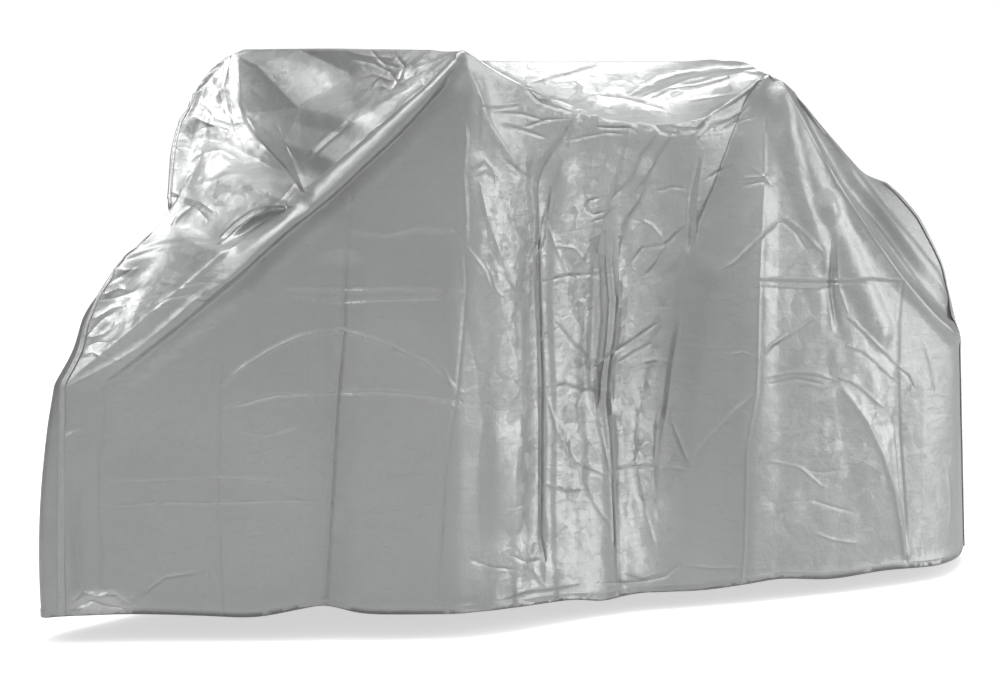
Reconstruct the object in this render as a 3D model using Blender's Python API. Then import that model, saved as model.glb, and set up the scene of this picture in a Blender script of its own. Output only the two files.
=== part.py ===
"""Drape-over cover for one bicycle: a sheet of thin film folded along the top, welded at both ends.

Units are metres. While it is shaped, x runs from the front axle to the rear, z up from the floor, and
-y is the near side, towards which the handlebar is turned. At the end all of it is moved, so that the
origin is the middle of the cover's bounding box, at the level of the hem's lowest point.
"""

import bpy
import numpy as np
from mathutils import Matrix

# Driving dimensions: what the bicycle under the cover holds up, and the film.
SHEET_THICKNESS = 0.002
GRIP_NEAR = (0.345, -0.300, 1.016)
GRIP_FAR = (0.195, 0.262, 1.010)
SADDLE_NEAR = (1.105, -0.070, 0.972)
SADDLE_FAR = (1.110, 0.070, 0.985)
FRONT_CORNER = (-0.285, -0.020, 0.445)
FRONT_HEM = (-0.290, -0.020, 0.048)
REAR_TOP = (1.420, 0.020, 0.750)
REAR_CORNER = (1.590, 0.000, 0.430)
REAR_HEM = (1.607, 0.000, 0.022)

# Sections are counted by their share of the way from the front end seam (0) to the rear one (1).
AT_GRIP = 0.34
AT_SADDLE = 0.68
CORNERS = (0.0, AT_GRIP, AT_SADDLE, 1.0)
COLUMNS = (24, 25, 21)
BESIDE_SEAM = 0.004
EASED_SECTIONS = 3
WALL_SHARES = (0, 0.03, 0.12, 0.24, 0.37, 0.51, 0.64, 0.76, 0.86, 0.94, 1)
SLOPE_SHARES = (0, 0.09, 0.19, 0.29, 0.39, 0.48, 0.57, 0.67, 0.78, 0.89, 1)

# Binding tape over each end seam.
TAPE_WIDTH = 0.009
TAPE_THICKNESS = 0.0015
TAPE_GAP = 0.0004

# The near side's hem: share, x, y, z.
HEM_NEAR = (
    (0.00, *FRONT_HEM),
    (0.06, -0.185, -0.062, 0.050),
    (0.13, -0.060, -0.122, 0.046),
    (0.17, 0.010, -0.155, 0.042),
    (0.215, 0.118, -0.207, 0.064),
    (0.25, 0.180, -0.235, 0.047),
    (AT_GRIP, 0.345, -0.300, 0.044),
    (0.41, 0.487, -0.272, 0.042),
    (0.465, 0.598, -0.238, 0.038),
    (0.495, 0.660, -0.225, 0.026),
    (0.53, 0.730, -0.215, 0.034),
    (0.60, 0.865, -0.228, 0.030),
    (AT_SADDLE, 1.030, -0.232, 0.040),
    (0.74, 1.150, -0.228, 0.028),
    (0.80, 1.265, -0.215, 0.032),
    (0.87, 1.400, -0.190, 0.026),
    (0.93, 1.500, -0.125, 0.024),
    (1.00, *REAR_HEM),
)

# The near ridge, where the hanging wall meets the sloping top: share, x, y, z.
RIDGE_NEAR = (
    (0.00, *FRONT_CORNER),
    (AT_GRIP, *GRIP_NEAR),
    (0.37, 0.420, -0.270, 0.980),
    (0.41, 0.504, -0.240, 0.948),
    (0.46, 0.610, -0.210, 0.908),
    (0.50, 0.690, -0.190, 0.889),
    (0.55, 0.800, -0.165, 0.879),
    (0.60, 0.905, -0.140, 0.884),
    (0.64, 1.000, -0.105, 0.920),
    (AT_SADDLE, *SADDLE_NEAR),
    (0.72, 1.155, -0.090, 0.876),
    (0.77, 1.225, -0.106, 0.760),
    (0.82, 1.300, -0.116, 0.655),
    (0.87, 1.390, -0.118, 0.548),
    (0.93, 1.500, -0.095, 0.462),
    (1.00, *REAR_CORNER),
)

# The line along which the sheet is folded over the top: share, x, y, z.
TOP_LINE = (
    (0.00, 0.080, 0.215, 0.942),
    (0.10, 0.148, 0.262, 0.997),
    (AT_GRIP, *GRIP_FAR),
    (0.42, 0.380, 0.230, 0.998),
    (0.55, 0.740, 0.150, 0.988),
    (0.64, 1.000, 0.090, 0.986),
    (AT_SADDLE, *SADDLE_FAR),
    (0.72, 1.190, 0.065, 0.962),
    (0.78, 1.250, 0.055, 0.915),
    (0.86, 1.330, 0.040, 0.820),
    (0.93, 1.385, 0.030, 0.765),
    (1.00, *REAR_TOP),
)

# The far side's wall at shoulder height: share, x, y, z.
SHOULDER_FAR = (
    (0.00, *FRONT_CORNER),
    (0.03, -0.290, 0.005, 0.445),
    (0.06, -0.268, 0.035, 0.452),
    (0.15, -0.100, 0.130, 0.520),
    (AT_GRIP, 0.170, 0.290, 0.600),
    (0.45, 0.450, 0.235, 0.600),
    (0.55, 0.740, 0.190, 0.600),
    (AT_SADDLE, 1.040, 0.165, 0.620),
    (0.80, 1.250, 0.140, 0.560),
    (0.90, 1.440, 0.100, 0.500),
    (0.97, 1.570, 0.035, 0.440),
    (1.00, *REAR_CORNER),
)

# The far side's hem: share, x, y, z.
HEM_FAR = (
    (0.00, *FRONT_HEM),
    (0.03, -0.318, 0.005, 0.044),
    (0.06, -0.305, 0.040, 0.046),
    (0.15, -0.150, 0.140, 0.050),
    (AT_GRIP, 0.165, 0.300, 0.045),
    (0.45, 0.450, 0.275, 0.050),
    (0.55, 0.720, 0.245, 0.040),
    (AT_SADDLE, 1.000, 0.250, 0.035),
    (0.80, 1.240, 0.235, 0.040),
    (0.90, 1.440, 0.160, 0.040),
    (0.97, 1.590, 0.045, 0.026),
    (1.00, *REAR_HEM),
)

# How far each wall stands off a straight hang, at half its height: share, off in x, off in y.
BELLY_NEAR = (
    (0.00, 0.0, 0.000),
    (AT_GRIP, 0.0, 0.000),
    (0.45, 0.0, 0.055),
    (0.56, 0.0, 0.070),
    (0.62, 0.0, 0.030),
    (0.66, 0.0, -0.030),
    (0.70, 0.0, -0.030),
    (0.78, 0.0, -0.015),
    (0.90, 0.0, 0.000),
    (1.00, 0.0, 0.000),
)
BELLY_FAR = (
    (0.00, 0.000, 0.000),
    (0.03, -0.014, 0.000),
    (0.06, -0.010, 0.010),
    (0.15, 0.000, 0.000),
    (AT_GRIP, 0.000, 0.000),
    (0.50, 0.000, -0.030),
    (AT_SADDLE, 0.000, 0.010),
    (1.00, 0.000, 0.000),
)

# How far the near slope hangs below a straight line from ridge to top: share, drop.
SLOPE_SAG = (
    (0.00, 0.000),
    (0.10, 0.015),
    (0.20, 0.035),
    (0.30, 0.020),
    (AT_GRIP, -0.004),
    (0.40, 0.020),
    (0.50, 0.035),
    (0.60, 0.025),
    (AT_SADDLE, -0.004),
    (0.72, 0.020),
    (0.80, 0.045),
    (0.90, 0.040),
    (0.955, 0.000),
    (1.00, 0.000),
)

# How each end seam strays from a straight line, from its corner up to the top: share of the way, x, y, z.
FRONT_SEAM = (
    (0.00, 0.000, 0.000, 0.000),
    (0.13, -0.012, -0.026, 0.020),
    (0.33, -0.013, -0.057, 0.039),
    (0.46, 0.016, -0.058, 0.014),
    (0.54, 0.018, -0.056, 0.006),
    (0.62, 0.006, -0.047, 0.004),
    (0.72, -0.002, -0.030, 0.006),
    (0.90, -0.009, -0.012, 0.010),
    (1.00, 0.000, 0.000, 0.000),
)
REAR_SEAM = (
    (0.00, 0.000, 0.000, 0.000),
    (0.28, 0.018, -0.005, 0.012),
    (0.50, 0.034, -0.010, 0.006),
    (0.72, 0.035, -0.005, 0.006),
    (0.88, 0.023, 0.000, 0.003),
    (1.00, 0.000, 0.000, 0.000),
)

# How far round each side the sheet follows that, as a share: at the front seam, at the rear seam.
SEAM_REACH_NEAR = (0.045, 0.030)
SEAM_REACH_FAR = (0.300, 0.150)

# Main folds, each a straight crest or trough seen from the side: from x, z, to x, z, half width, height.
# A height above zero stands out of the sheet, and one below zero goes in.
FOLDS_NEAR = (
    (-0.120, 0.535, 0.180, 0.805, 0.045, -0.014),
    (0.180, 0.805, 0.315, 0.925, 0.045, -0.014),
    (-0.020, 0.700, 0.080, 0.765, 0.035, -0.016),
    (0.120, 0.900, 0.090, 0.810, 0.045, -0.012),
    (0.050, 0.860, 0.110, 0.825, 0.035, -0.010),
    (0.195, 0.960, 0.185, 0.900, 0.035, 0.008),
    (0.150, 0.640, 0.120, 0.070, 0.045, -0.010),
    (0.355, 0.940, 0.350, 0.080, 0.050, 0.008),
    (0.540, 0.780, 0.510, 0.070, 0.055, -0.016),
    (0.605, 0.780, 0.590, 0.080, 0.045, 0.010),
    (0.700, 0.730, 0.660, 0.060, 0.040, -0.012),
    (0.775, 0.780, 0.725, 0.080, 0.045, 0.010),
    (0.850, 0.600, 0.780, 0.060, 0.045, -0.012),
    (1.075, 0.880, 0.920, 0.620, 0.060, -0.014),
    (0.920, 0.620, 0.810, 0.230, 0.060, -0.014),
    (1.050, 0.860, 0.980, 0.060, 0.050, 0.012),
    (0.850, 0.925, 1.060, 0.962, 0.035, 0.008),
    (1.115, 0.920, 1.195, 0.710, 0.035, 0.008),
    (1.195, 0.710, 1.300, 0.480, 0.045, 0.010),
    (1.300, 0.480, 1.312, 0.060, 0.050, 0.010),
    (1.188, 0.580, 1.183, 0.480, 0.030, -0.010),
)
FOLDS_FAR = (
    (-0.100, 0.560, 0.060, 0.080, 0.060, -0.010),
    (0.165, 0.900, 0.160, 0.080, 0.060, 0.010),
    (0.340, 0.880, 0.310, 0.060, 0.070, -0.014),
    (0.500, 0.700, 0.530, 0.060, 0.050, 0.012),
    (0.640, 0.860, 0.700, 0.060, 0.055, -0.014),
    (0.830, 0.640, 0.850, 0.060, 0.050, 0.010),
    (1.010, 0.900, 0.930, 0.060, 0.060, -0.010),
    (1.105, 0.900, 1.060, 0.060, 0.055, 0.012),
    (1.220, 0.780, 1.290, 0.060, 0.060, -0.010),
)


def smooth_rows(rows, shares):
    """Values between a table's rows, on cubics that keep each stretch's rise or fall and never overshoot."""
    rows = np.array(rows, float)
    at, values = rows[:, 0], rows[:, 1:]
    gaps = np.diff(at)[:, None]
    rises = np.diff(values, axis=0) / gaps
    slopes = np.empty_like(values)
    slopes[0], slopes[-1] = rises[0], rises[-1]
    before, after = rises[:-1], rises[1:]
    same_way = before * after > 0
    heavy_before = 2 * gaps[1:] + gaps[:-1]
    heavy_after = gaps[1:] + 2 * gaps[:-1]
    safe_before = np.where(same_way, before, 1)
    safe_after = np.where(same_way, after, 1)
    mean = (heavy_before + heavy_after) / (heavy_before / safe_before + heavy_after / safe_after)
    slopes[1:-1] = np.where(same_way, mean, 0)
    row = np.clip(np.searchsorted(at, shares, side="right") - 1, 0, len(at) - 2)
    t = ((shares - at[row]) / gaps[row, 0])[:, None]
    gap = gaps[row]
    start = (1 + 2 * t) * (1 - t) ** 2 * values[row] + t * (1 - t) ** 2 * gap * slopes[row]
    end = t * t * (3 - 2 * t) * values[row + 1] + t * t * (t - 1) * gap * slopes[row + 1]
    return start + end


def section_line(rows, shares):
    """A line round the cover, smooth between the grip and the saddle and free to turn sharply at them."""
    line = np.zeros((len(shares), len(rows[0]) - 1))
    for start, end in zip(CORNERS[:-1], CORNERS[1:]):
        stretch = [row for row in rows if start <= row[0] <= end]
        inside = (shares >= start) & (shares <= end)
        line[inside] = smooth_rows(stretch, shares[inside])
    return line


def lofted_wall(hem, shoulder, belly):
    """Rows from the hem up to the shoulder line, standing off a straight hang by a parabola's share."""
    t = np.array(WALL_SHARES)[None, :, None]
    wall = hem[:, None] * (1 - t) + shoulder[:, None] * t
    wall[..., :2] += belly[:, None] * 4 * t * (1 - t)
    return wall


def lofted_slope(shoulder, top, sag, shares, seam_reach):
    """Rows from the shoulder line up to the fold, sagging between them and following both end seams."""
    steps = np.array(SLOPE_SHARES)
    t = steps[None, :, None]
    slope = shoulder[:, None] * (1 - t) + top[:, None] * t
    slope[..., 2] -= sag * 4 * steps * (1 - steps)
    from_seams = np.stack([shares, 1 - shares]) / np.array(seam_reach)[:, None]
    front_pull, rear_pull = np.exp(-(from_seams**2))[:, :, None, None]
    slope += smooth_rows(FRONT_SEAM, steps) * front_pull
    slope += smooth_rows(REAR_SEAM, steps) * rear_pull
    return slope


def surface_normals(grid):
    """Unit normals of a grid of points, from the cross product of its two directions."""
    along = np.gradient(grid, axis=0)
    up = np.gradient(grid, axis=1)
    normals = np.cross(along, up)
    return normals / np.maximum(np.linalg.norm(normals, axis=2, keepdims=True), 1e-9)


def pressed_folds(grid, folds, facing):
    """The grid moved along its normals by each fold, full height on its line and none past its reach.

    A facing of -1 turns the normals round, on the side that faces +y.
    """
    normals = surface_normals(grid) * facing
    side_view = grid[..., [0, 2]]
    offset = np.zeros(grid.shape[:2])
    for x0, z0, x1, z1, reach, height in folds:
        start = np.array((x0, z0))
        run = np.array((x1, z1)) - start
        t = np.clip((side_view - start) @ run / (run @ run), 0, 1)
        distance = np.linalg.norm(side_view - start - t[..., None] * run, axis=2)
        offset += height * np.clip(1 - (distance / reach) ** 2, 0, 1) ** 2
    return grid + normals * offset[..., None]


def eased_ends(grid, folded):
    """The folded grid, running back to the plain one towards both end seams, where the sides meet."""
    sections = np.arange(len(grid))
    weight = np.clip(np.minimum(sections, sections[::-1]) / EASED_SECTIONS, 0, 1)[:, None, None]
    return grid * (1 - weight) + folded * weight


def half_cover(hem, shoulder, belly, sag, shares, seam_reach, folds, facing):
    """One side of the cover as a grid of points, section by section, each from its hem up to the top."""
    hem_line = section_line(hem, shares)
    shoulder_line = section_line(shoulder, shares)
    wall = lofted_wall(hem_line, shoulder_line, smooth_rows(belly, shares))
    top_line = section_line(TOP_LINE, shares)
    slope = lofted_slope(shoulder_line, top_line, sag, shares, seam_reach)
    grid = np.concatenate([wall, slope[:, 1:]], axis=1)
    return eased_ends(grid, pressed_folds(grid, folds, facing))


def cover_points():
    """Both sides as one grid: sections by rows, the near hem first and the far hem last."""
    stretches = [
        np.linspace(start, end, count, endpoint=False)
        for start, end, count in zip(CORNERS[:-1], CORNERS[1:], COLUMNS)
    ]
    shares = np.sort(np.concatenate([*stretches, [BESIDE_SEAM, 1 - BESIDE_SEAM, 1.0]]))
    sag = section_line(SLOPE_SAG, shares)
    level = np.zeros_like(sag)
    near = half_cover(HEM_NEAR, RIDGE_NEAR, BELLY_NEAR, sag, shares, SEAM_REACH_NEAR, FOLDS_NEAR, 1)
    far = half_cover(HEM_FAR, SHOULDER_FAR, BELLY_FAR, level, shares, SEAM_REACH_FAR, FOLDS_FAR, -1)
    far[:, -1] = near[:, -1]
    return np.concatenate([near, far[:, -2::-1]], axis=1)


def plain_material(name, colour, metallic, roughness):
    """A plain finish with the given colour and shine."""
    material = bpy.data.materials.new(name)
    material.use_nodes = True
    shader = material.node_tree.nodes["Principled BSDF"]
    shader.inputs["Base Color"].default_value = (*colour, 1)
    shader.inputs["Metallic"].default_value = metallic
    shader.inputs["Roughness"].default_value = roughness
    return material


def add_object(name, points, faces, material):
    """A mesh object with smooth faces, its points already in place."""
    mesh = bpy.data.meshes.new(name)
    mesh.from_pydata(points.tolist(), [], faces)
    mesh.materials.append(material)
    mesh.shade_smooth()
    thing = bpy.data.objects.new(name, mesh)
    bpy.context.collection.objects.link(thing)
    return thing


def add_cover(points, material):
    """The sheet: the two sides share their points along both end seams, and the film grows inwards."""
    sections, rows = points.shape[:2]
    number = np.arange(sections * rows).reshape(sections, rows)
    for seam in (0, -1):
        number[seam, rows // 2 + 1:] = number[seam, :rows // 2][::-1]
    used, number = np.unique(number, return_inverse=True)
    number = number.reshape(sections, rows)
    corners = (number[:-1, :-1], number[1:, :-1], number[1:, 1:], number[:-1, 1:])
    faces = np.stack(corners, axis=-1).reshape(-1, 4)
    cover = add_object("cover", points.reshape(-1, 3)[used], faces.tolist(), material)
    film = cover.modifiers.new("film", "SOLIDIFY")
    film.thickness = SHEET_THICKNESS
    film.offset = -1
    return cover


def unit(vectors):
    """Each vector at length one."""
    return vectors / np.linalg.norm(vectors, axis=-1, keepdims=True)


def add_tape(name, seam, near_side, far_side, turn, material):
    """Tape folded over a seam: a bent strip with a wing flat on each side of the sheet, a hair clear.

    Each wing runs from the seam towards its own side's next line of points. The fold between the
    wings stands off by the gap over the sine of half the angle there, as a mitred corner does.
    The turn is 1 where the near side lies towards the rear of the seam, and -1 where it lies in front.
    """
    run = np.gradient(seam, axis=0)
    near_way = unit(near_side - seam)
    far_way = unit(far_side - seam)
    near_normal = unit(turn * np.cross(near_way, run))
    far_normal = unit(turn * np.cross(run, far_way))
    outward = unit(near_normal + far_normal)
    mitre = 1 / np.sum(outward * near_normal, axis=1, keepdims=True)
    wing = TAPE_WIDTH / 2
    rings = []
    for stand_off in (TAPE_GAP, TAPE_GAP + TAPE_THICKNESS):
        rings.append([
            seam + near_way * wing + near_normal * stand_off,
            seam + outward * mitre * stand_off,
            seam + far_way * wing + far_normal * stand_off,
        ])
    inner, outer = rings
    ring = np.stack([*inner, *outer[::-1]], axis=1)
    count, corners = ring.shape[:2]
    number = np.arange(count * corners).reshape(count, corners)
    beside = np.roll(number, -1, axis=1)
    sides = np.stack([number[:-1], beside[:-1], beside[1:], number[1:]], axis=-1).reshape(-1, 4)
    if turn < 0:
        sides = sides[:, ::-1]
    faces = sides.tolist()
    near_wing, far_wing = [0, 1, 4, 5][::turn], [1, 2, 3, 4][::turn]
    for wing_corners in (near_wing, far_wing):
        faces.append(number[0, wing_corners][::-1].tolist())
        faces.append(number[-1, wing_corners].tolist())
    return add_object(name, ring.reshape(-1, 3), faces, material)


def stand_at_origin(things):
    """Move every mesh so that the middle of their common bounding box's base is the origin."""
    evaluated = bpy.context.evaluated_depsgraph_get()
    corners = np.array([thing.evaluated_get(evaluated).bound_box for thing in things]).reshape(-1, 3)
    low, high = corners.min(axis=0), corners.max(axis=0)
    middle_x, middle_y, _ = (low + high) / 2
    for thing in things:
        thing.data.transform(Matrix.Translation((-middle_x, -middle_y, -low[2])))


def build():
    """Clear the scene and make the cover with its two tapes."""
    for thing in list(bpy.data.objects):
        bpy.data.objects.remove(thing)
    film = plain_material("silver_film", (0.42, 0.43, 0.43), metallic=0.45, roughness=0.38)
    tape = plain_material("seam_tape", (0.38, 0.39, 0.39), metallic=0.45, roughness=0.42)
    points = cover_points()
    below_top = points.shape[1] // 2
    near, far = points[:, :below_top], points[:, :below_top:-1]
    things = [
        add_cover(points, film),
        add_tape("front_seam_binding", near[0], near[1], far[1], 1, tape),
        add_tape("rear_seam_binding", near[-1], near[-2], far[-2], -1, tape),
    ]
    stand_at_origin(things)


build()
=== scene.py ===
import math

import bpy
import numpy as np
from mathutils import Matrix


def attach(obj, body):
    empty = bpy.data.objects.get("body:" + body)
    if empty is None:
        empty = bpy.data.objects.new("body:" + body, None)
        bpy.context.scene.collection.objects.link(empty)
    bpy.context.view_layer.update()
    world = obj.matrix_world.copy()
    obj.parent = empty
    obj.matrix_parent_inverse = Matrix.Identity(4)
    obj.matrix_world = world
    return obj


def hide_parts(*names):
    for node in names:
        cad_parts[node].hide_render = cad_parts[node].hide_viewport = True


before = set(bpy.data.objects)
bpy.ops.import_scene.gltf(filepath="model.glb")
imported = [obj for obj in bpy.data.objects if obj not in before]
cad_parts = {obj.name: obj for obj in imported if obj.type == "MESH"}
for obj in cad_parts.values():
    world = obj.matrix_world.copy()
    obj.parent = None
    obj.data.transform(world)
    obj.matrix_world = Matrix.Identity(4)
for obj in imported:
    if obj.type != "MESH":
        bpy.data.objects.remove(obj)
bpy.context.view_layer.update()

# Looks of a drape-over bicycle cover of thin silver film. Units are metres, in the frame of the packed
# part: +X from the front end seam to the rear one, +Z up, and -Y the near side. The film's tables are
# written from another zero, the front wheel's axle at floor level, and MEASURED_FROM is where the
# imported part's origin lies from there.
MEASURED_FROM = np.array((0.64393, 0.00037, 0.02192))


# ---------------------------------------------------------------- the camera
# It stands 6 m away at a little over the cover's height, to the left of square on, and looks slightly
# down. Creases are placed further on by where they show in its picture, so its sizes come first.
PICTURE_WIDE, PICTURE_HIGH = 1000, 684
CAMERA_AT = np.array((-2.82884, -5.28906, 1.07808))
CAMERA_TURN = math.radians(27.5)
CAMERA_DIP = math.radians(5.9526)
SENSOR_MM = 36.0
LENS_PX = 3280.0


def sight(points):
    """Where points show in the picture, in pixels across and down, and what one pixel spans there.

    A point's shares along the camera's right and up, over its share along the view, times the lens.
    """
    right = np.array((math.cos(CAMERA_TURN), -math.sin(CAMERA_TURN), 0))
    level = np.array((math.sin(CAMERA_TURN), math.cos(CAMERA_TURN), 0))
    view = level * math.cos(CAMERA_DIP) - np.array((0, 0, math.sin(CAMERA_DIP)))
    up = np.cross(right, view)
    off = points - CAMERA_AT
    away = off @ view
    across = PICTURE_WIDE / 2 + LENS_PX * (off @ right) / away
    down = PICTURE_HIGH / 2 - LENS_PX * (off @ up) / away
    return np.stack([across, down], axis=-1), away / LENS_PX


camera_data = bpy.data.cameras.new("camera")
camera_data.sensor_width = SENSOR_MM
camera_data.lens = LENS_PX / PICTURE_WIDE * SENSOR_MM
camera_data.clip_end = 500
camera = bpy.data.objects.new("camera", camera_data)
camera.location = CAMERA_AT
camera.rotation_euler = (math.pi / 2 - CAMERA_DIP, 0, -CAMERA_TURN)
bpy.context.collection.objects.link(camera)
bpy.context.scene.camera = camera


# ---------------------------------------------------------------- the film: its drape
# One sheet of silver-grey film about 0.15 mm thick, folded along the top and welded shut at both ends.
# It hangs from the bar's two grips and the saddle, and its hem is open all round. The tables below
# follow its solid's on a far finer grid, with the front of the saddle's cone a little flatter.

GRIP_NEAR = (0.345, -0.300, 1.016)
GRIP_FAR = (0.173, 0.262, 1.010)
SADDLE_NEAR = (1.105, -0.070, 0.972)
SADDLE_FAR = (1.110, 0.070, 0.985)
FRONT_CORNER = (-0.285, -0.020, 0.445)
FRONT_HEM = (-0.290, -0.020, 0.048)
REAR_TOP = (1.420, 0.020, 0.750)
REAR_CORNER = (1.590, 0.000, 0.430)
REAR_HEM = (1.607, 0.000, 0.022)

# Sections are counted by their share of the way from the front end seam (0) to the rear one (1).
AT_GRIP = 0.34
AT_SADDLE = 0.68
CORNERS = (0.0, AT_GRIP, AT_SADDLE, 1.0)
SECTIONS = (240, 320, 230)

# The near side's hem: share, x, y, z.
HEM_NEAR = (
    (0.00, *FRONT_HEM),
    (0.06, -0.185, -0.062, 0.050),
    (0.13, -0.060, -0.122, 0.046),
    (0.17, 0.010, -0.155, 0.042),
    (0.215, 0.118, -0.207, 0.064),
    (0.25, 0.180, -0.235, 0.047),
    (AT_GRIP, 0.345, -0.300, 0.044),
    (0.41, 0.487, -0.272, 0.042),
    (0.465, 0.598, -0.238, 0.038),
    (0.495, 0.660, -0.225, 0.026),
    (0.53, 0.730, -0.215, 0.034),
    (0.60, 0.865, -0.228, 0.030),
    (AT_SADDLE, 1.030, -0.232, 0.040),
    (0.74, 1.150, -0.228, 0.028),
    (0.80, 1.265, -0.215, 0.032),
    (0.87, 1.400, -0.190, 0.026),
    (0.93, 1.500, -0.125, 0.024),
    (1.00, *REAR_HEM),
)

# The near ridge, where the hanging wall meets the sloping top: share, x, y, z.
RIDGE_NEAR = (
    (0.00, *FRONT_CORNER),
    (AT_GRIP, *GRIP_NEAR),
    (0.37, 0.420, -0.270, 0.980),
    (0.41, 0.504, -0.240, 0.948),
    (0.46, 0.610, -0.210, 0.908),
    (0.50, 0.690, -0.190, 0.889),
    (0.55, 0.800, -0.165, 0.879),
    (0.60, 0.905, -0.140, 0.884),
    (0.64, 1.000, -0.105, 0.920),
    (AT_SADDLE, *SADDLE_NEAR),
    (0.72, 1.155, -0.090, 0.876),
    (0.77, 1.225, -0.106, 0.760),
    (0.82, 1.300, -0.116, 0.655),
    (0.87, 1.390, -0.118, 0.548),
    (0.93, 1.500, -0.095, 0.462),
    (1.00, *REAR_CORNER),
)

# The line along which the sheet is folded over the top: share, x, y, z.
TOP_LINE = (
    (0.00, 0.083, 0.215, 0.939),
    (0.04, 0.103, 0.228, 0.963),
    (0.10, 0.135, 0.245, 0.993),
    (0.20, 0.153, 0.256, 1.004),
    (AT_GRIP, *GRIP_FAR),
    (0.42, 0.380, 0.230, 0.998),
    (0.55, 0.740, 0.150, 0.988),
    (0.64, 1.000, 0.090, 0.986),
    (AT_SADDLE, *SADDLE_FAR),
    (0.72, 1.190, 0.065, 0.962),
    (0.78, 1.250, 0.055, 0.915),
    (0.86, 1.330, 0.040, 0.820),
    (0.93, 1.385, 0.030, 0.765),
    (1.00, *REAR_TOP),
)

# The far side's wall at shoulder height: share, x, y, z.
SHOULDER_FAR = (
    (0.00, *FRONT_CORNER),
    (0.03, -0.290, 0.005, 0.445),
    (0.06, -0.268, 0.035, 0.452),
    (0.15, -0.100, 0.130, 0.520),
    (AT_GRIP, 0.170, 0.290, 0.600),
    (0.45, 0.450, 0.235, 0.600),
    (0.55, 0.740, 0.190, 0.600),
    (AT_SADDLE, 1.040, 0.165, 0.620),
    (0.80, 1.250, 0.140, 0.560),
    (0.90, 1.440, 0.100, 0.500),
    (0.97, 1.570, 0.035, 0.440),
    (1.00, *REAR_CORNER),
)

# The far side's hem: share, x, y, z.
HEM_FAR = (
    (0.00, *FRONT_HEM),
    (0.03, -0.318, 0.005, 0.044),
    (0.06, -0.305, 0.040, 0.046),
    (0.15, -0.150, 0.140, 0.050),
    (AT_GRIP, 0.165, 0.300, 0.045),
    (0.45, 0.450, 0.275, 0.050),
    (0.55, 0.720, 0.245, 0.040),
    (AT_SADDLE, 1.000, 0.250, 0.035),
    (0.80, 1.240, 0.235, 0.040),
    (0.90, 1.440, 0.160, 0.040),
    (0.97, 1.590, 0.045, 0.026),
    (1.00, *REAR_HEM),
)

# How far each wall stands off a straight hang, at half its height: share, off in x, off in y.
BELLY_NEAR = (
    (0.00, 0.0, 0.000),
    (AT_GRIP, 0.0, 0.000),
    (0.45, 0.0, 0.055),
    (0.56, 0.0, 0.070),
    (0.62, 0.0, 0.030),
    (0.66, 0.0, -0.016),
    (0.70, 0.0, -0.016),
    (0.78, 0.0, -0.015),
    (0.90, 0.0, 0.000),
    (1.00, 0.0, 0.000),
)
BELLY_FAR = (
    (0.00, 0.000, 0.000),
    (0.03, -0.014, 0.000),
    (0.06, -0.010, 0.010),
    (0.15, 0.000, 0.000),
    (AT_GRIP, 0.000, 0.000),
    (0.50, 0.000, -0.030),
    (AT_SADDLE, 0.000, 0.010),
    (1.00, 0.000, 0.000),
)

# How far the near slope hangs below a straight line from ridge to top: share, drop.
SLOPE_SAG = (
    (0.00, 0.000),
    (0.10, 0.015),
    (0.20, 0.035),
    (0.30, 0.020),
    (AT_GRIP, -0.004),
    (0.40, 0.020),
    (0.50, 0.035),
    (0.60, 0.025),
    (AT_SADDLE, -0.004),
    (0.72, 0.020),
    (0.80, 0.045),
    (0.90, 0.040),
    (0.955, 0.000),
    (1.00, 0.000),
)

# How each end seam strays from a straight line, from its corner to the top: share of the way, x, y, z.
FRONT_SEAM = (
    (0.00, 0.000, 0.000, 0.000),
    (0.10, -0.007, -0.020, -0.001),
    (0.225, -0.028, -0.041, 0.004),
    (0.295, -0.033, -0.052, 0.005),
    (0.363, -0.032, -0.057, 0.002),
    (0.419, -0.027, -0.058, -0.001),
    (0.458, -0.018, -0.058, -0.007),
    (0.505, -0.010, -0.058, -0.011),
    (0.551, 0.004, -0.056, -0.018),
    (0.585, 0.020, -0.052, -0.026),
    (0.608, 0.023, -0.049, -0.027),
    (0.628, 0.008, -0.046, -0.019),
    (0.687, -0.002, -0.036, -0.012),
    (0.726, -0.008, -0.029, -0.007),
    (0.791, -0.019, -0.023, 0.000),
    (0.862, -0.024, -0.016, 0.004),
    (0.915, -0.018, -0.010, 0.004),
    (0.962, -0.019, -0.005, 0.007),
    (1.00, 0.000, 0.000, 0.000),
)
REAR_SEAM = (
    (0.00, 0.000, 0.000, 0.000),
    (0.28, 0.018, -0.005, 0.012),
    (0.50, 0.034, -0.010, 0.006),
    (0.72, 0.035, -0.005, 0.006),
    (0.88, 0.023, 0.000, 0.003),
    (1.00, 0.000, 0.000, 0.000),
)

# How far round each side the sheet follows that, as a share: at the front seam, at the rear seam.
SEAM_REACH_NEAR = (0.045, 0.030)
SEAM_REACH_FAR = (0.300, 0.150)

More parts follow.
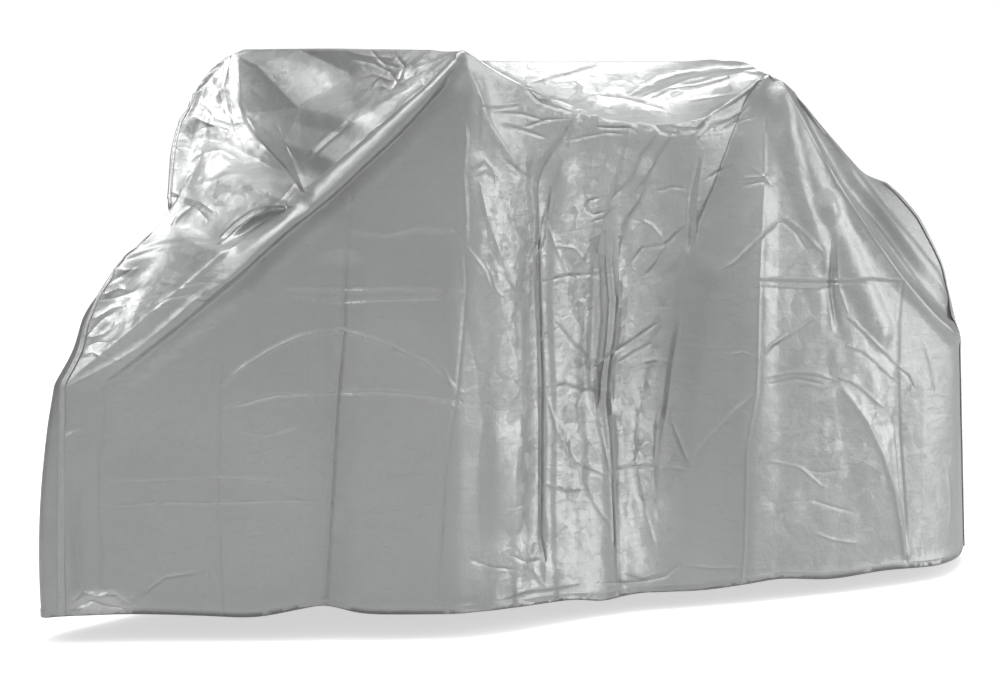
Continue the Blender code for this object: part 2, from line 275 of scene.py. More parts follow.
# Main folds, each a straight crest or trough seen from the side: from x, z, to x, z, half width, height.
# A height above zero stands out of the sheet, and one below zero goes in.
FOLDS_NEAR = (
    (-0.020, 0.700, 0.080, 0.765, 0.035, -0.016),
    (0.120, 0.900, 0.090, 0.810, 0.045, -0.012),
    (0.050, 0.860, 0.110, 0.825, 0.035, -0.010),
    (0.195, 0.960, 0.185, 0.900, 0.035, 0.008),
    (0.150, 0.640, 0.120, 0.070, 0.045, -0.010),
    (0.355, 0.940, 0.350, 0.080, 0.050, 0.008),
    (0.540, 0.780, 0.510, 0.070, 0.055, -0.006),
    (0.605, 0.780, 0.590, 0.080, 0.045, 0.005),
    (0.700, 0.730, 0.660, 0.060, 0.040, -0.003),
    (0.775, 0.780, 0.725, 0.080, 0.045, 0.003),
    (0.850, 0.600, 0.780, 0.060, 0.045, -0.003),
    (1.075, 0.880, 0.940, 0.650, 0.060, -0.009),
    (0.900, 0.580, 0.810, 0.230, 0.060, -0.009),
    (1.050, 0.860, 0.980, 0.060, 0.050, 0.004),
    (0.850, 0.925, 1.060, 0.962, 0.035, 0.008),
    (1.115, 0.920, 1.195, 0.710, 0.035, 0.008),
    (1.195, 0.710, 1.300, 0.480, 0.045, 0.010),
    (1.188, 0.580, 1.183, 0.480, 0.030, -0.003),
)
FOLDS_FAR = (
    (-0.100, 0.560, 0.060, 0.080, 0.060, -0.010),
    (0.165, 0.900, 0.160, 0.080, 0.060, 0.010),
    (0.340, 0.880, 0.310, 0.060, 0.070, -0.014),
    (0.500, 0.700, 0.530, 0.060, 0.050, 0.012),
    (0.640, 0.860, 0.700, 0.060, 0.055, -0.014),
    (0.830, 0.640, 0.850, 0.060, 0.050, 0.010),
    (1.010, 0.900, 0.930, 0.060, 0.060, -0.010),
    (1.105, 0.900, 1.060, 0.060, 0.055, 0.012),
    (1.220, 0.780, 1.290, 0.060, 0.060, -0.010),
)


def smooth_rows(rows, shares):
    """Values between a table's rows, on cubics that keep each stretch's rise or fall, never past it."""
    rows = np.array(rows, float)
    at, values = rows[:, 0], rows[:, 1:]
    gaps = np.diff(at)[:, None]
    rises = np.diff(values, axis=0) / gaps
    slopes = np.empty_like(values)
    slopes[0], slopes[-1] = rises[0], rises[-1]
    before, after = rises[:-1], rises[1:]
    same_way = before * after > 0
    heavy_before = 2 * gaps[1:] + gaps[:-1]
    heavy_after = gaps[1:] + 2 * gaps[:-1]
    safe_before = np.where(same_way, before, 1)
    safe_after = np.where(same_way, after, 1)
    mean = (heavy_before + heavy_after) / (heavy_before / safe_before + heavy_after / safe_after)
    slopes[1:-1] = np.where(same_way, mean, 0)
    row = np.clip(np.searchsorted(at, shares, side="right") - 1, 0, len(at) - 2)
    t = ((shares - at[row]) / gaps[row, 0])[:, None]
    gap = gaps[row]
    start = (1 + 2 * t) * (1 - t) ** 2 * values[row] + t * (1 - t) ** 2 * gap * slopes[row]
    end = t * t * (3 - 2 * t) * values[row + 1] + t * t * (t - 1) * gap * slopes[row + 1]
    return start + end


def section_line(rows, shares):
    """A line round the cover, smooth between grip and saddle and free to turn sharply at them."""
    line = np.zeros((len(shares), len(rows[0]) - 1))
    for start, end in zip(CORNERS[:-1], CORNERS[1:]):
        stretch = [row for row in rows if start <= row[0] <= end]
        inside = (shares >= start) & (shares <= end)
        line[inside] = smooth_rows(stretch, shares[inside])
    return line


def half_drape(hem, shoulder, belly, sag, shares, seam_reach):
    """One side of the film, section by section, each from its hem up to the top.

    Up the wall, a straight line from hem to shoulder plus a parabola's share of the belly; the rows next
    to the hem keep their real heights. Up the slope, a straight line to the top less a parabola's share
    of the sag, plus each seam's own strays, fading with the square of the way from that seam.
    """
    hem_line = section_line(hem, shares)[:, None]
    shoulder_line = section_line(shoulder, shares)[:, None]
    top_line = section_line(TOP_LINE, shares)[:, None]
    tall = np.linalg.norm(shoulder_line - hem_line, axis=2)
    low = np.array(HEM_ROWS)[None] / tall
    even = low[:, -1:] + (1 - low[:, -1:]) * np.linspace(0, 1, WALL_ROWS + 1)[1:]
    t = np.concatenate([low, even], axis=1)[..., None]
    wall = hem_line * (1 - t) + shoulder_line * t
    wall[..., :2] += smooth_rows(belly, shares)[:, None] * 4 * t * (1 - t)
    steps = np.linspace(0, 1, SLOPE_ROWS + 1)[1:]
    t = steps[None, :, None]
    slope = shoulder_line * (1 - t) + top_line * t
    slope[..., 2] -= sag * 4 * steps * (1 - steps)
    from_seams = np.stack([shares, 1 - shares]) / np.array(seam_reach)[:, None]
    front_pull, rear_pull = np.exp(-(from_seams**2))[:, :, None, None]
    slope += smooth_rows(FRONT_SEAM, steps) * front_pull + smooth_rows(REAR_SEAM, steps) * rear_pull
    return np.concatenate([wall, slope], axis=1)


def rounded(grid, passes):
    """The grid with its bends rounded: each pass moves a point halfway to its neighbours' middle."""
    grid = grid.copy()
    for _ in range(passes):
        grid[:, 1:-1] += (grid[:, :-2] + grid[:, 2:] - 2 * grid[:, 1:-1]) / 4
        grid[1:-1, 1:-1] += (grid[:-2, 1:-1] + grid[2:, 1:-1] - 2 * grid[1:-1, 1:-1]) / 4
    return grid


def eased_below(grid, shares):
    """The grid with its upright ridges opened out into cones, the more the lower they run.

    Far below a peak each point is the bell-weighted mean of its row's neighbours, by their shares of the
    way round, and its part in the result grows with the depth below the peaks. The seams stay put.
    """
    bell = np.exp(-(((shares[:, None] - shares) / EASE_WIDE) ** 2))
    bell /= bell.sum(axis=1, keepdims=True)
    even = np.tensordot(bell, grid, axes=1)
    depth = np.clip((EASE_FROM - grid[..., 2]) / EASE_DEEP, 0, 1)
    from_seam = np.clip(np.minimum(shares, 1 - shares) / (3 * EASE_WIDE), 0, 1)[:, None]
    part = (depth * depth * (3 - 2 * depth) * from_seam)[..., None]
    return grid * (1 - part) + even * part


def main_folds(side_view, folds):
    """The height that the main folds add: each is (1 - the squared share of its reach), squared."""
    total = np.zeros(side_view.shape[:2])
    for x0, z0, x1, z1, reach, height in folds:
        start = np.array((x0, z0))
        run = np.array((x1, z1)) - start
        t = np.clip((side_view - start) @ run / (run @ run), 0, 1)
        distance = np.linalg.norm(side_view - start - t[..., None] * run, axis=2)
        total += height * np.clip(1 - (distance / reach) ** 2, 0, 1) ** 2
    return total


def surface_normals(grid):
    """Unit normals of a grid of points, from the cross product of its two directions."""
    normals = np.cross(np.gradient(grid, axis=0), np.gradient(grid, axis=1))
    return normals / np.maximum(np.linalg.norm(normals, axis=2, keepdims=True), 1e-9)


def beside(places, span, crease, reaches):
    """What lies beside one crease: which places, how far off, and how far along it they are.

    The distance is from the nearest point of its line, as a share of the crease's reach on that side,
    and below zero over the line, which is above it, or to the right of a line that runs down. Only
    places within so many reaches are looked at. The last value is its strength there, which fades by
    a square over the first and the last quarter.
    """
    height, over, under, start, end, line = crease
    line = np.array(line, float)
    widest = reaches * max(over, under) / 1000 / span.min()
    inside = np.all((places > line.min(axis=0) - widest) & (places < line.max(axis=0) + widest), axis=1)
    chosen = np.flatnonzero(inside)
    here = places[chosen]
    lengths = np.linalg.norm(np.diff(line, axis=0), axis=1)
    passed = np.concatenate([[0], np.cumsum(lengths)])
    nearest = np.full(len(here), np.inf)
    side, along = np.zeros(len(here)), np.zeros(len(here))
    for k, length in enumerate(lengths):
        run = line[k + 1] - line[k]
        t = np.clip((here - line[k]) @ run / length**2, 0, 1)
        off = here - line[k] - t[:, None] * run
        distance = np.linalg.norm(off, axis=1)
        closer = distance < nearest
        nearest = np.where(closer, distance, nearest)
        side = np.where(closer, run[0] * off[:, 1] - run[1] * off[:, 0], side)
        along = np.where(closer, (passed[k] + t * length) / passed[-1], along)
    shares = nearest * span[chosen] * 1000 * np.where(side < 0, -1 / over, 1 / under)
    fade_in = (1 - start) * np.clip(1 - along * 4, 0, 1) ** 2
    fade_out = (1 - end) * np.clip(along * 4 - 3, 0, 1) ** 2
    return chosen, shares, along, 1 - fade_in - fade_out


def crease_heights(places, span, creases, power):
    """Height of each place over the plain drape: the sum of what the creases add there.

    Each adds its height x (1 - distance / reach) to a power, or that share smoothed where it is 0.
    """
    total = np.zeros(len(places))
    for crease in creases:
        chosen, shares, _, strength = beside(places, span, crease, 1)
        form = np.clip(1 - np.abs(shares), 0, 1)
        form = form**power if power else form * form * (3 - 2 * form)
        total[chosen] += crease[0] / 1000 * form * strength
    return total


def plane_heights(places, corners, planes):
    """Height of each place on flat planes: its triangle's corners' heights, weighed by nearness."""
    corners = np.array(corners, float)
    total = np.zeros(len(places))
    for plane in planes:
        first, *others = corners[list(plane)]
        sides = np.array(others) - first
        ways = (places - first[:2]) @ np.linalg.inv(sides[:, :2])
        inside = (ways >= 0).all(axis=1) & (ways.sum(axis=1) <= 1)
        total[inside] = (first[2] + ways[inside] @ sides[:, 2]) / 1000
    return total


def crease_layers(places, span, creases):
    """Fine creases as layers of two values each: the share of the reach from a line, and its height.

    Both change evenly across a face, so a line stays sharp inside it. The share is read far past the
    crease, so that it keeps its sign over the widest faces, and the height fades out a few reaches
    away. Each crease takes the layer whose other lines are the furthest from it.
    """
    shares_read = np.full((len(places), CREASE_LAYERS), REACHES_READ)
    lifts = np.zeros((len(places), CREASE_LAYERS))
    taken = [np.full((1, 2), 1e6)] * CREASE_LAYERS
    for crease in creases:
        line = np.array(crease[-1], float)
        dense = np.concatenate([np.linspace(a, b, 6) for a, b in zip(line[:-1], line[1:])])
        clear = [np.linalg.norm(dense[:, None] - other, axis=2).min() for other in taken]
        layer = int(np.argmax(clear))
        taken[layer] = np.concatenate([taken[layer], dense])
        chosen, shares, along, strength = beside(places, span, crease, REACHES_READ)
        away = np.abs(shares)
        closer = away < np.abs(shares_read[chosen, layer])
        past_end = ((along <= 0) | (along >= 1)) & (away > 1)
        held = np.clip((REACHES_LIFTED - away) / LIFT_FADE, 0, 1)
        height = crease[0] / 1000 * np.where(past_end, 0, strength) * held
        shares_read[chosen[closer], layer] = shares[closer]
        lifts[chosen[closer], layer] = height[closer]
    return shares_read, lifts


def drift(places, seed):
    """Two slow wandering values for each place: sums of six sine waves, 2 to 6 units long, each way."""
    draw = np.random.default_rng(seed)
    total = np.zeros((len(places), 2))
    for _ in range(6):
        heading, phase = draw.uniform(0, 2 * math.pi, 2)
        wave = np.array((math.cos(heading), math.sin(heading))) * 2 * math.pi / draw.uniform(2, 6)
        angle = places @ wave + phase
        total += np.stack([np.sin(angle), np.cos(angle * 1.3 + phase)], axis=1) / 6
    return total


def facets(places, seed):
    """Crumpled heights from -1 to 1 on cells one unit wide, flat between sharp lines.

    Places drift a little, then lie on a lattice of triangles whose corners have random heights, and a
    place takes the weighted mean of its triangle's three.
    """
    heights = np.random.default_rng(seed).uniform(-1, 1, (LATTICE, LATTICE))
    bent = places + 1.1 * drift(places, seed + 1)
    skewed = bent + bent.sum(axis=1, keepdims=True) * (math.sqrt(3) - 1) / 2
    corner = np.floor(skewed).astype(int)
    part = skewed - corner
    low, high = part.min(axis=1), part.max(axis=1)
    wide = (part[:, 0] >= part[:, 1]).astype(int)

    def height_at(across, up):
        return heights[(corner[:, 0] + across) % LATTICE, (corner[:, 1] + up) % LATTICE]

    middle = (high - low) * height_at(wide, 1 - wide)
    return (1 - high) * height_at(0, 0) + middle + low * height_at(1, 1)


def patch_strength(places, patches):
    """How crumpled each place is: the sum of soft ovals, each full inside and fading at its rim."""
    total = np.zeros(len(places))
    for x, y, wide, high, turn, strength in patches:
        c, s = math.cos(math.radians(turn)), math.sin(math.radians(turn))
        off = places - (x, y)
        across = (off[:, 0] * c + off[:, 1] * s) / wide
        down = (off[:, 1] * c - off[:, 0] * s) / high
        total += strength * np.exp(-((across**2 + down**2) ** 2))
    return total


# Rows of points: by their real height next to the hem, then evenly up the wall and up the slope.
HEM_ROWS = (0, 0.001, 0.003, 0.006, 0.009, 0.0115, 0.0127, 0.0137, 0.015, 0.018)
WALL_ROWS = 280
SLOPE_ROWS = 170
# How often the bends are rounded, and how wide and how far down the ridges open out.
ROUNDING = 7
EASE_WIDE = 0.016
EASE_FROM = 1.00
EASE_DEEP = 0.30
# How near to a seam, as a share of the way round, the main folds fade.
FOLD_FADE = 0.028
# Sharp creases: the power of their section. Fine ones: how many reaches off a line is read and is
# lifted, over how many the lift fades, and in how many layers.
CREASE_POWER = 1.6
REACHES_READ = 14.0
REACHES_LIFTED = 2.8
LIFT_FADE = 0.8
CREASE_LAYERS = 9
# How many random heights the facets' lattice has each way.
LATTICE = 64

# Rolls, tucks and wide folds of the near side, soft in section. Height, reach over the line, reach
# under it (mm), strength at its start and at its end, then the line, in pixels of the picture, from
# left to right or from top to bottom.
NEAR_FOLDS = (
    (6, 18, 30, 0.3, 0.15, ((112, 265), (163, 249), (220, 241), (250, 232))),
    (19, 30, 7, 0.2, 0.25, ((210, 287), (230, 271), (246, 257), (262, 242), (290, 217), (304, 207),
        (330, 186), (350, 167), (385, 134), (425, 96), (457, 62))),
    (-8, 12, 40, 0.6, 0.2, ((110, 384), (150, 354), (185, 326), (210, 305), (230, 289), (246, 276),
        (262, 259), (278, 246), (290, 235), (310, 219), (330, 202), (350, 183), (400, 138), (450, 83))),
    (7, 40, 40, 0.3, 0.4, ((466, 66), (473, 92), (482, 114), (492, 135), (512, 165), (545, 270))),
    (-13, 45, 45, 0.1, 1, ((468, 120), (470, 240), (471, 400), (472, 600))),
    (-8, 6, 60, 0.4, 0.8, ((566, 130), (552, 150), (542, 168), (537, 185), (538, 262), (540, 330),
        (541, 420), (541, 500), (544, 560))),
    (4, 120, 8, 0.3, 0.5, ((566, 150), (553, 200), (550, 300), (552, 400), (552, 500), (556, 580))),
    (5, 24, 24, 0.3, 0.4, ((575, 300), (572, 400), (580, 500))),
    (-7, 20, 20, 0.3, 1, ((600, 225), (599, 300), (596, 362), (600, 410))),
    (7, 22, 18, 0.3, 1, ((612, 200), (617, 300), (609, 385), (612, 470), (616, 600))),
    (-8, 90, 50, 1, 0.3, ((767, 70), (755, 100), (742, 132), (722, 187), (695, 247), (685, 277),
        (674, 330), (662, 400))),
    (4, 34, 60, 0.3, 0.8, ((763, 175), (762, 280), (757, 380), (748, 440), (745, 590))),
    (9, 22, 26, 0.1, 0.3, ((776, 78), (784, 133), (797, 177), (810, 217), (828, 262))),
    (-5, 10, 8, 0.3, 0.3, ((832, 250), (834, 297), (839, 330))),
    (-14, 45, 14, 0.2, 0.3, ((767, 74), (755, 100), (742, 132), (722, 187), (705, 225))),
    (7, 14, 30, 0.2, 1, ((777, 72), (803, 117), (837, 183), (867, 227), (903, 277), (955, 333))),
    (-12, 18, 18, 0.4, 0.8, ((800, 100), (817, 127), (850, 183), (883, 223), (917, 267), (952, 315))),
    (-5, 14, 14, 0.3, 0.6, ((640, 95), (660, 85), (690, 78), (730, 72), (765, 68))),
    (5, 12, 12, 0.3, 0.6, ((650, 102), (690, 90), (735, 80), (765, 70))),
    (-3, 20, 20, 0.5, 0.8, ((335, 325), (334, 420), (328, 520), (325, 604))),
    (5, 20, 24, 0.8, 0.3, ((66, 440), (66, 500), (70, 600))),
    (-4, 14, 14, 0.2, 1, ((72, 480), (76, 540), (80, 600))),
)

# Creases between flat planes, straight in section on both sides, in the same columns.
NEAR_PLANES = (
    (-15, 36, 8, 0.1, 0.3, ((272, 221), (305, 189), (327, 169), (350, 150), (377, 126), (403, 103),
        (430, 80), (453, 59))),
    (17, 100, 50, 0.2, 0.5, ((478, 150), (485, 240), (493, 300), (506, 360), (514, 420), (508, 480),
        (512, 560))),
    (-7, 60, 64, 0.3, 0.3, ((690, 170), (683, 255), (674, 330), (664, 400), (657, 475), (661, 560))),
)

# Large flat planes: corners, in pixels of the picture, with their heights (mm), then the triangles
# between them. The first are the front slope's, and the others are low on the rear panel.
SLOPE_CORNERS = (
    (238, 56, 0), (256, 52, 0), (300, 50, 0), (348, 50, 0), (400, 50, 0), (455, 53, 0),
    (301, 111, 2), (241, 105, -11), (260, 143, -12), (302, 192, 0), (303, 165, 5), (357, 124, 9),
    (407, 88, 9), (262, 71, 14), (347, 71, -13), (226, 62, 0), (212, 112, 0), (234, 162, 0),
    (268, 192, 0), (284, 146, 8), (305, 187, 0), (352, 148, 0), (405, 102, 0),
)
SLOPE_PLANES = (
    (1, 2, 13), (2, 6, 13), (2, 14, 6), (2, 3, 14),
    (0, 1, 13), (0, 13, 7), (13, 6, 7), (7, 6, 19), (7, 19, 8), (8, 19, 9), (19, 6, 10), (19, 10, 9),
    (3, 4, 14), (4, 12, 14), (4, 5, 12), (14, 12, 11), (14, 11, 6), (6, 11, 10),
    (0, 7, 15), (15, 7, 16), (7, 8, 16), (16, 8, 17), (17, 8, 18), (18, 8, 9),
    (9, 20, 10), (10, 20, 21), (10, 21, 11), (11, 21, 22), (11, 22, 12), (12, 22, 5),
)
PANEL_CORNERS = (
    (843, 390, 0), (866, 425, 7), (880, 457, 9), (893, 493, 6), (905, 556, 0), (898, 362, 0),
    (900, 425, -11), (903, 500, -7), (848, 470, 0), (872, 550, 0), (924, 390, 0), (924, 510, 0),
)
PANEL_PLANES = (
    (0, 5, 1), (1, 5, 6), (1, 6, 2), (2, 6, 7), (2, 7, 3), (3, 7, 4), (0, 1, 8), (1, 2, 8), (2, 3, 8),
    (3, 9, 8), (3, 4, 9), (5, 10, 6), (6, 10, 11), (6, 11, 7), (7, 11, 4),
)

# Folded edges that hang over what is below them: how far over (mm), then the same columns.
LIPS = (
    (9, 12, 9, 0.2, 0.3, ((222, 230), (236, 215), (250, 205), (265, 199), (284, 198))),
    (15, 10, 8, 0.5, 0.15, ((203, 297), (230, 274), (262, 246), (290, 221), (330, 190), (362, 160),
        (400, 125), (448, 78))),
)
LIP_WAY = np.array((0.05, -0.55, -0.83))

# The dark pocket over the roll, as soft ovals (see CRUMPLED), how deep it goes and which way.
POCKET = ((256, 221, 32, 10.5, -26, 1),)
POCKET_DEEP = 0.034
POCKET_WAY = np.array((0.46, 0.88, -0.10))

# Sharp folded edges, in the same columns.
NEAR_EDGES = (
    (5, 12, 30, 0.5, 0.2, ((67, 387), (113, 363), (140, 347), (170, 322), (190, 304), (210, 289),
        (230, 273), (246, 260))),
    (7, 12, 5, 0.6, 0.6, ((219, 241), (232, 227), (250, 214), (265, 205), (278, 204), (292, 206))),
    (-3, 8, 12, 0.3, 1, ((112, 265), (130, 259), (163, 249), (190, 246), (217, 242))),
    (-4, 10, 14, 0.3, 0.8, ((200, 135), (220, 137), (232, 141), (247, 146), (260, 154), (277, 162))),
    (3, 12, 8, 0.3, 0.3, ((216, 90), (226, 112), (236, 130))),
    (3, 12, 12, 0.3, 0.3, ((180, 190), (200, 186), (226, 176), (244, 172))),
    (4, 8, 12, 1, 0.3, ((112, 268), (124, 272), (138, 270))),
    (3, 8, 12, 0.8, 0.3, ((466, 67), (472, 90), (480, 112), (490, 132), (502, 150), (512, 165))),
    (-2.4, 8, 12, 1, 0.3, ((767, 67), (755, 100), (742, 132), (732, 157), (722, 187), (710, 215),
        (695, 247), (685, 277))),
    (3.6, 12, 9, 0.4, 0.6, ((843, 390), (852, 403), (863, 420), (872, 438), (880, 457), (893, 493),
        (905, 555))),
    (2.6, 9, 12, 0.3, 0.4, ((895, 425), (899, 470), (903, 520), (907, 560))),
)

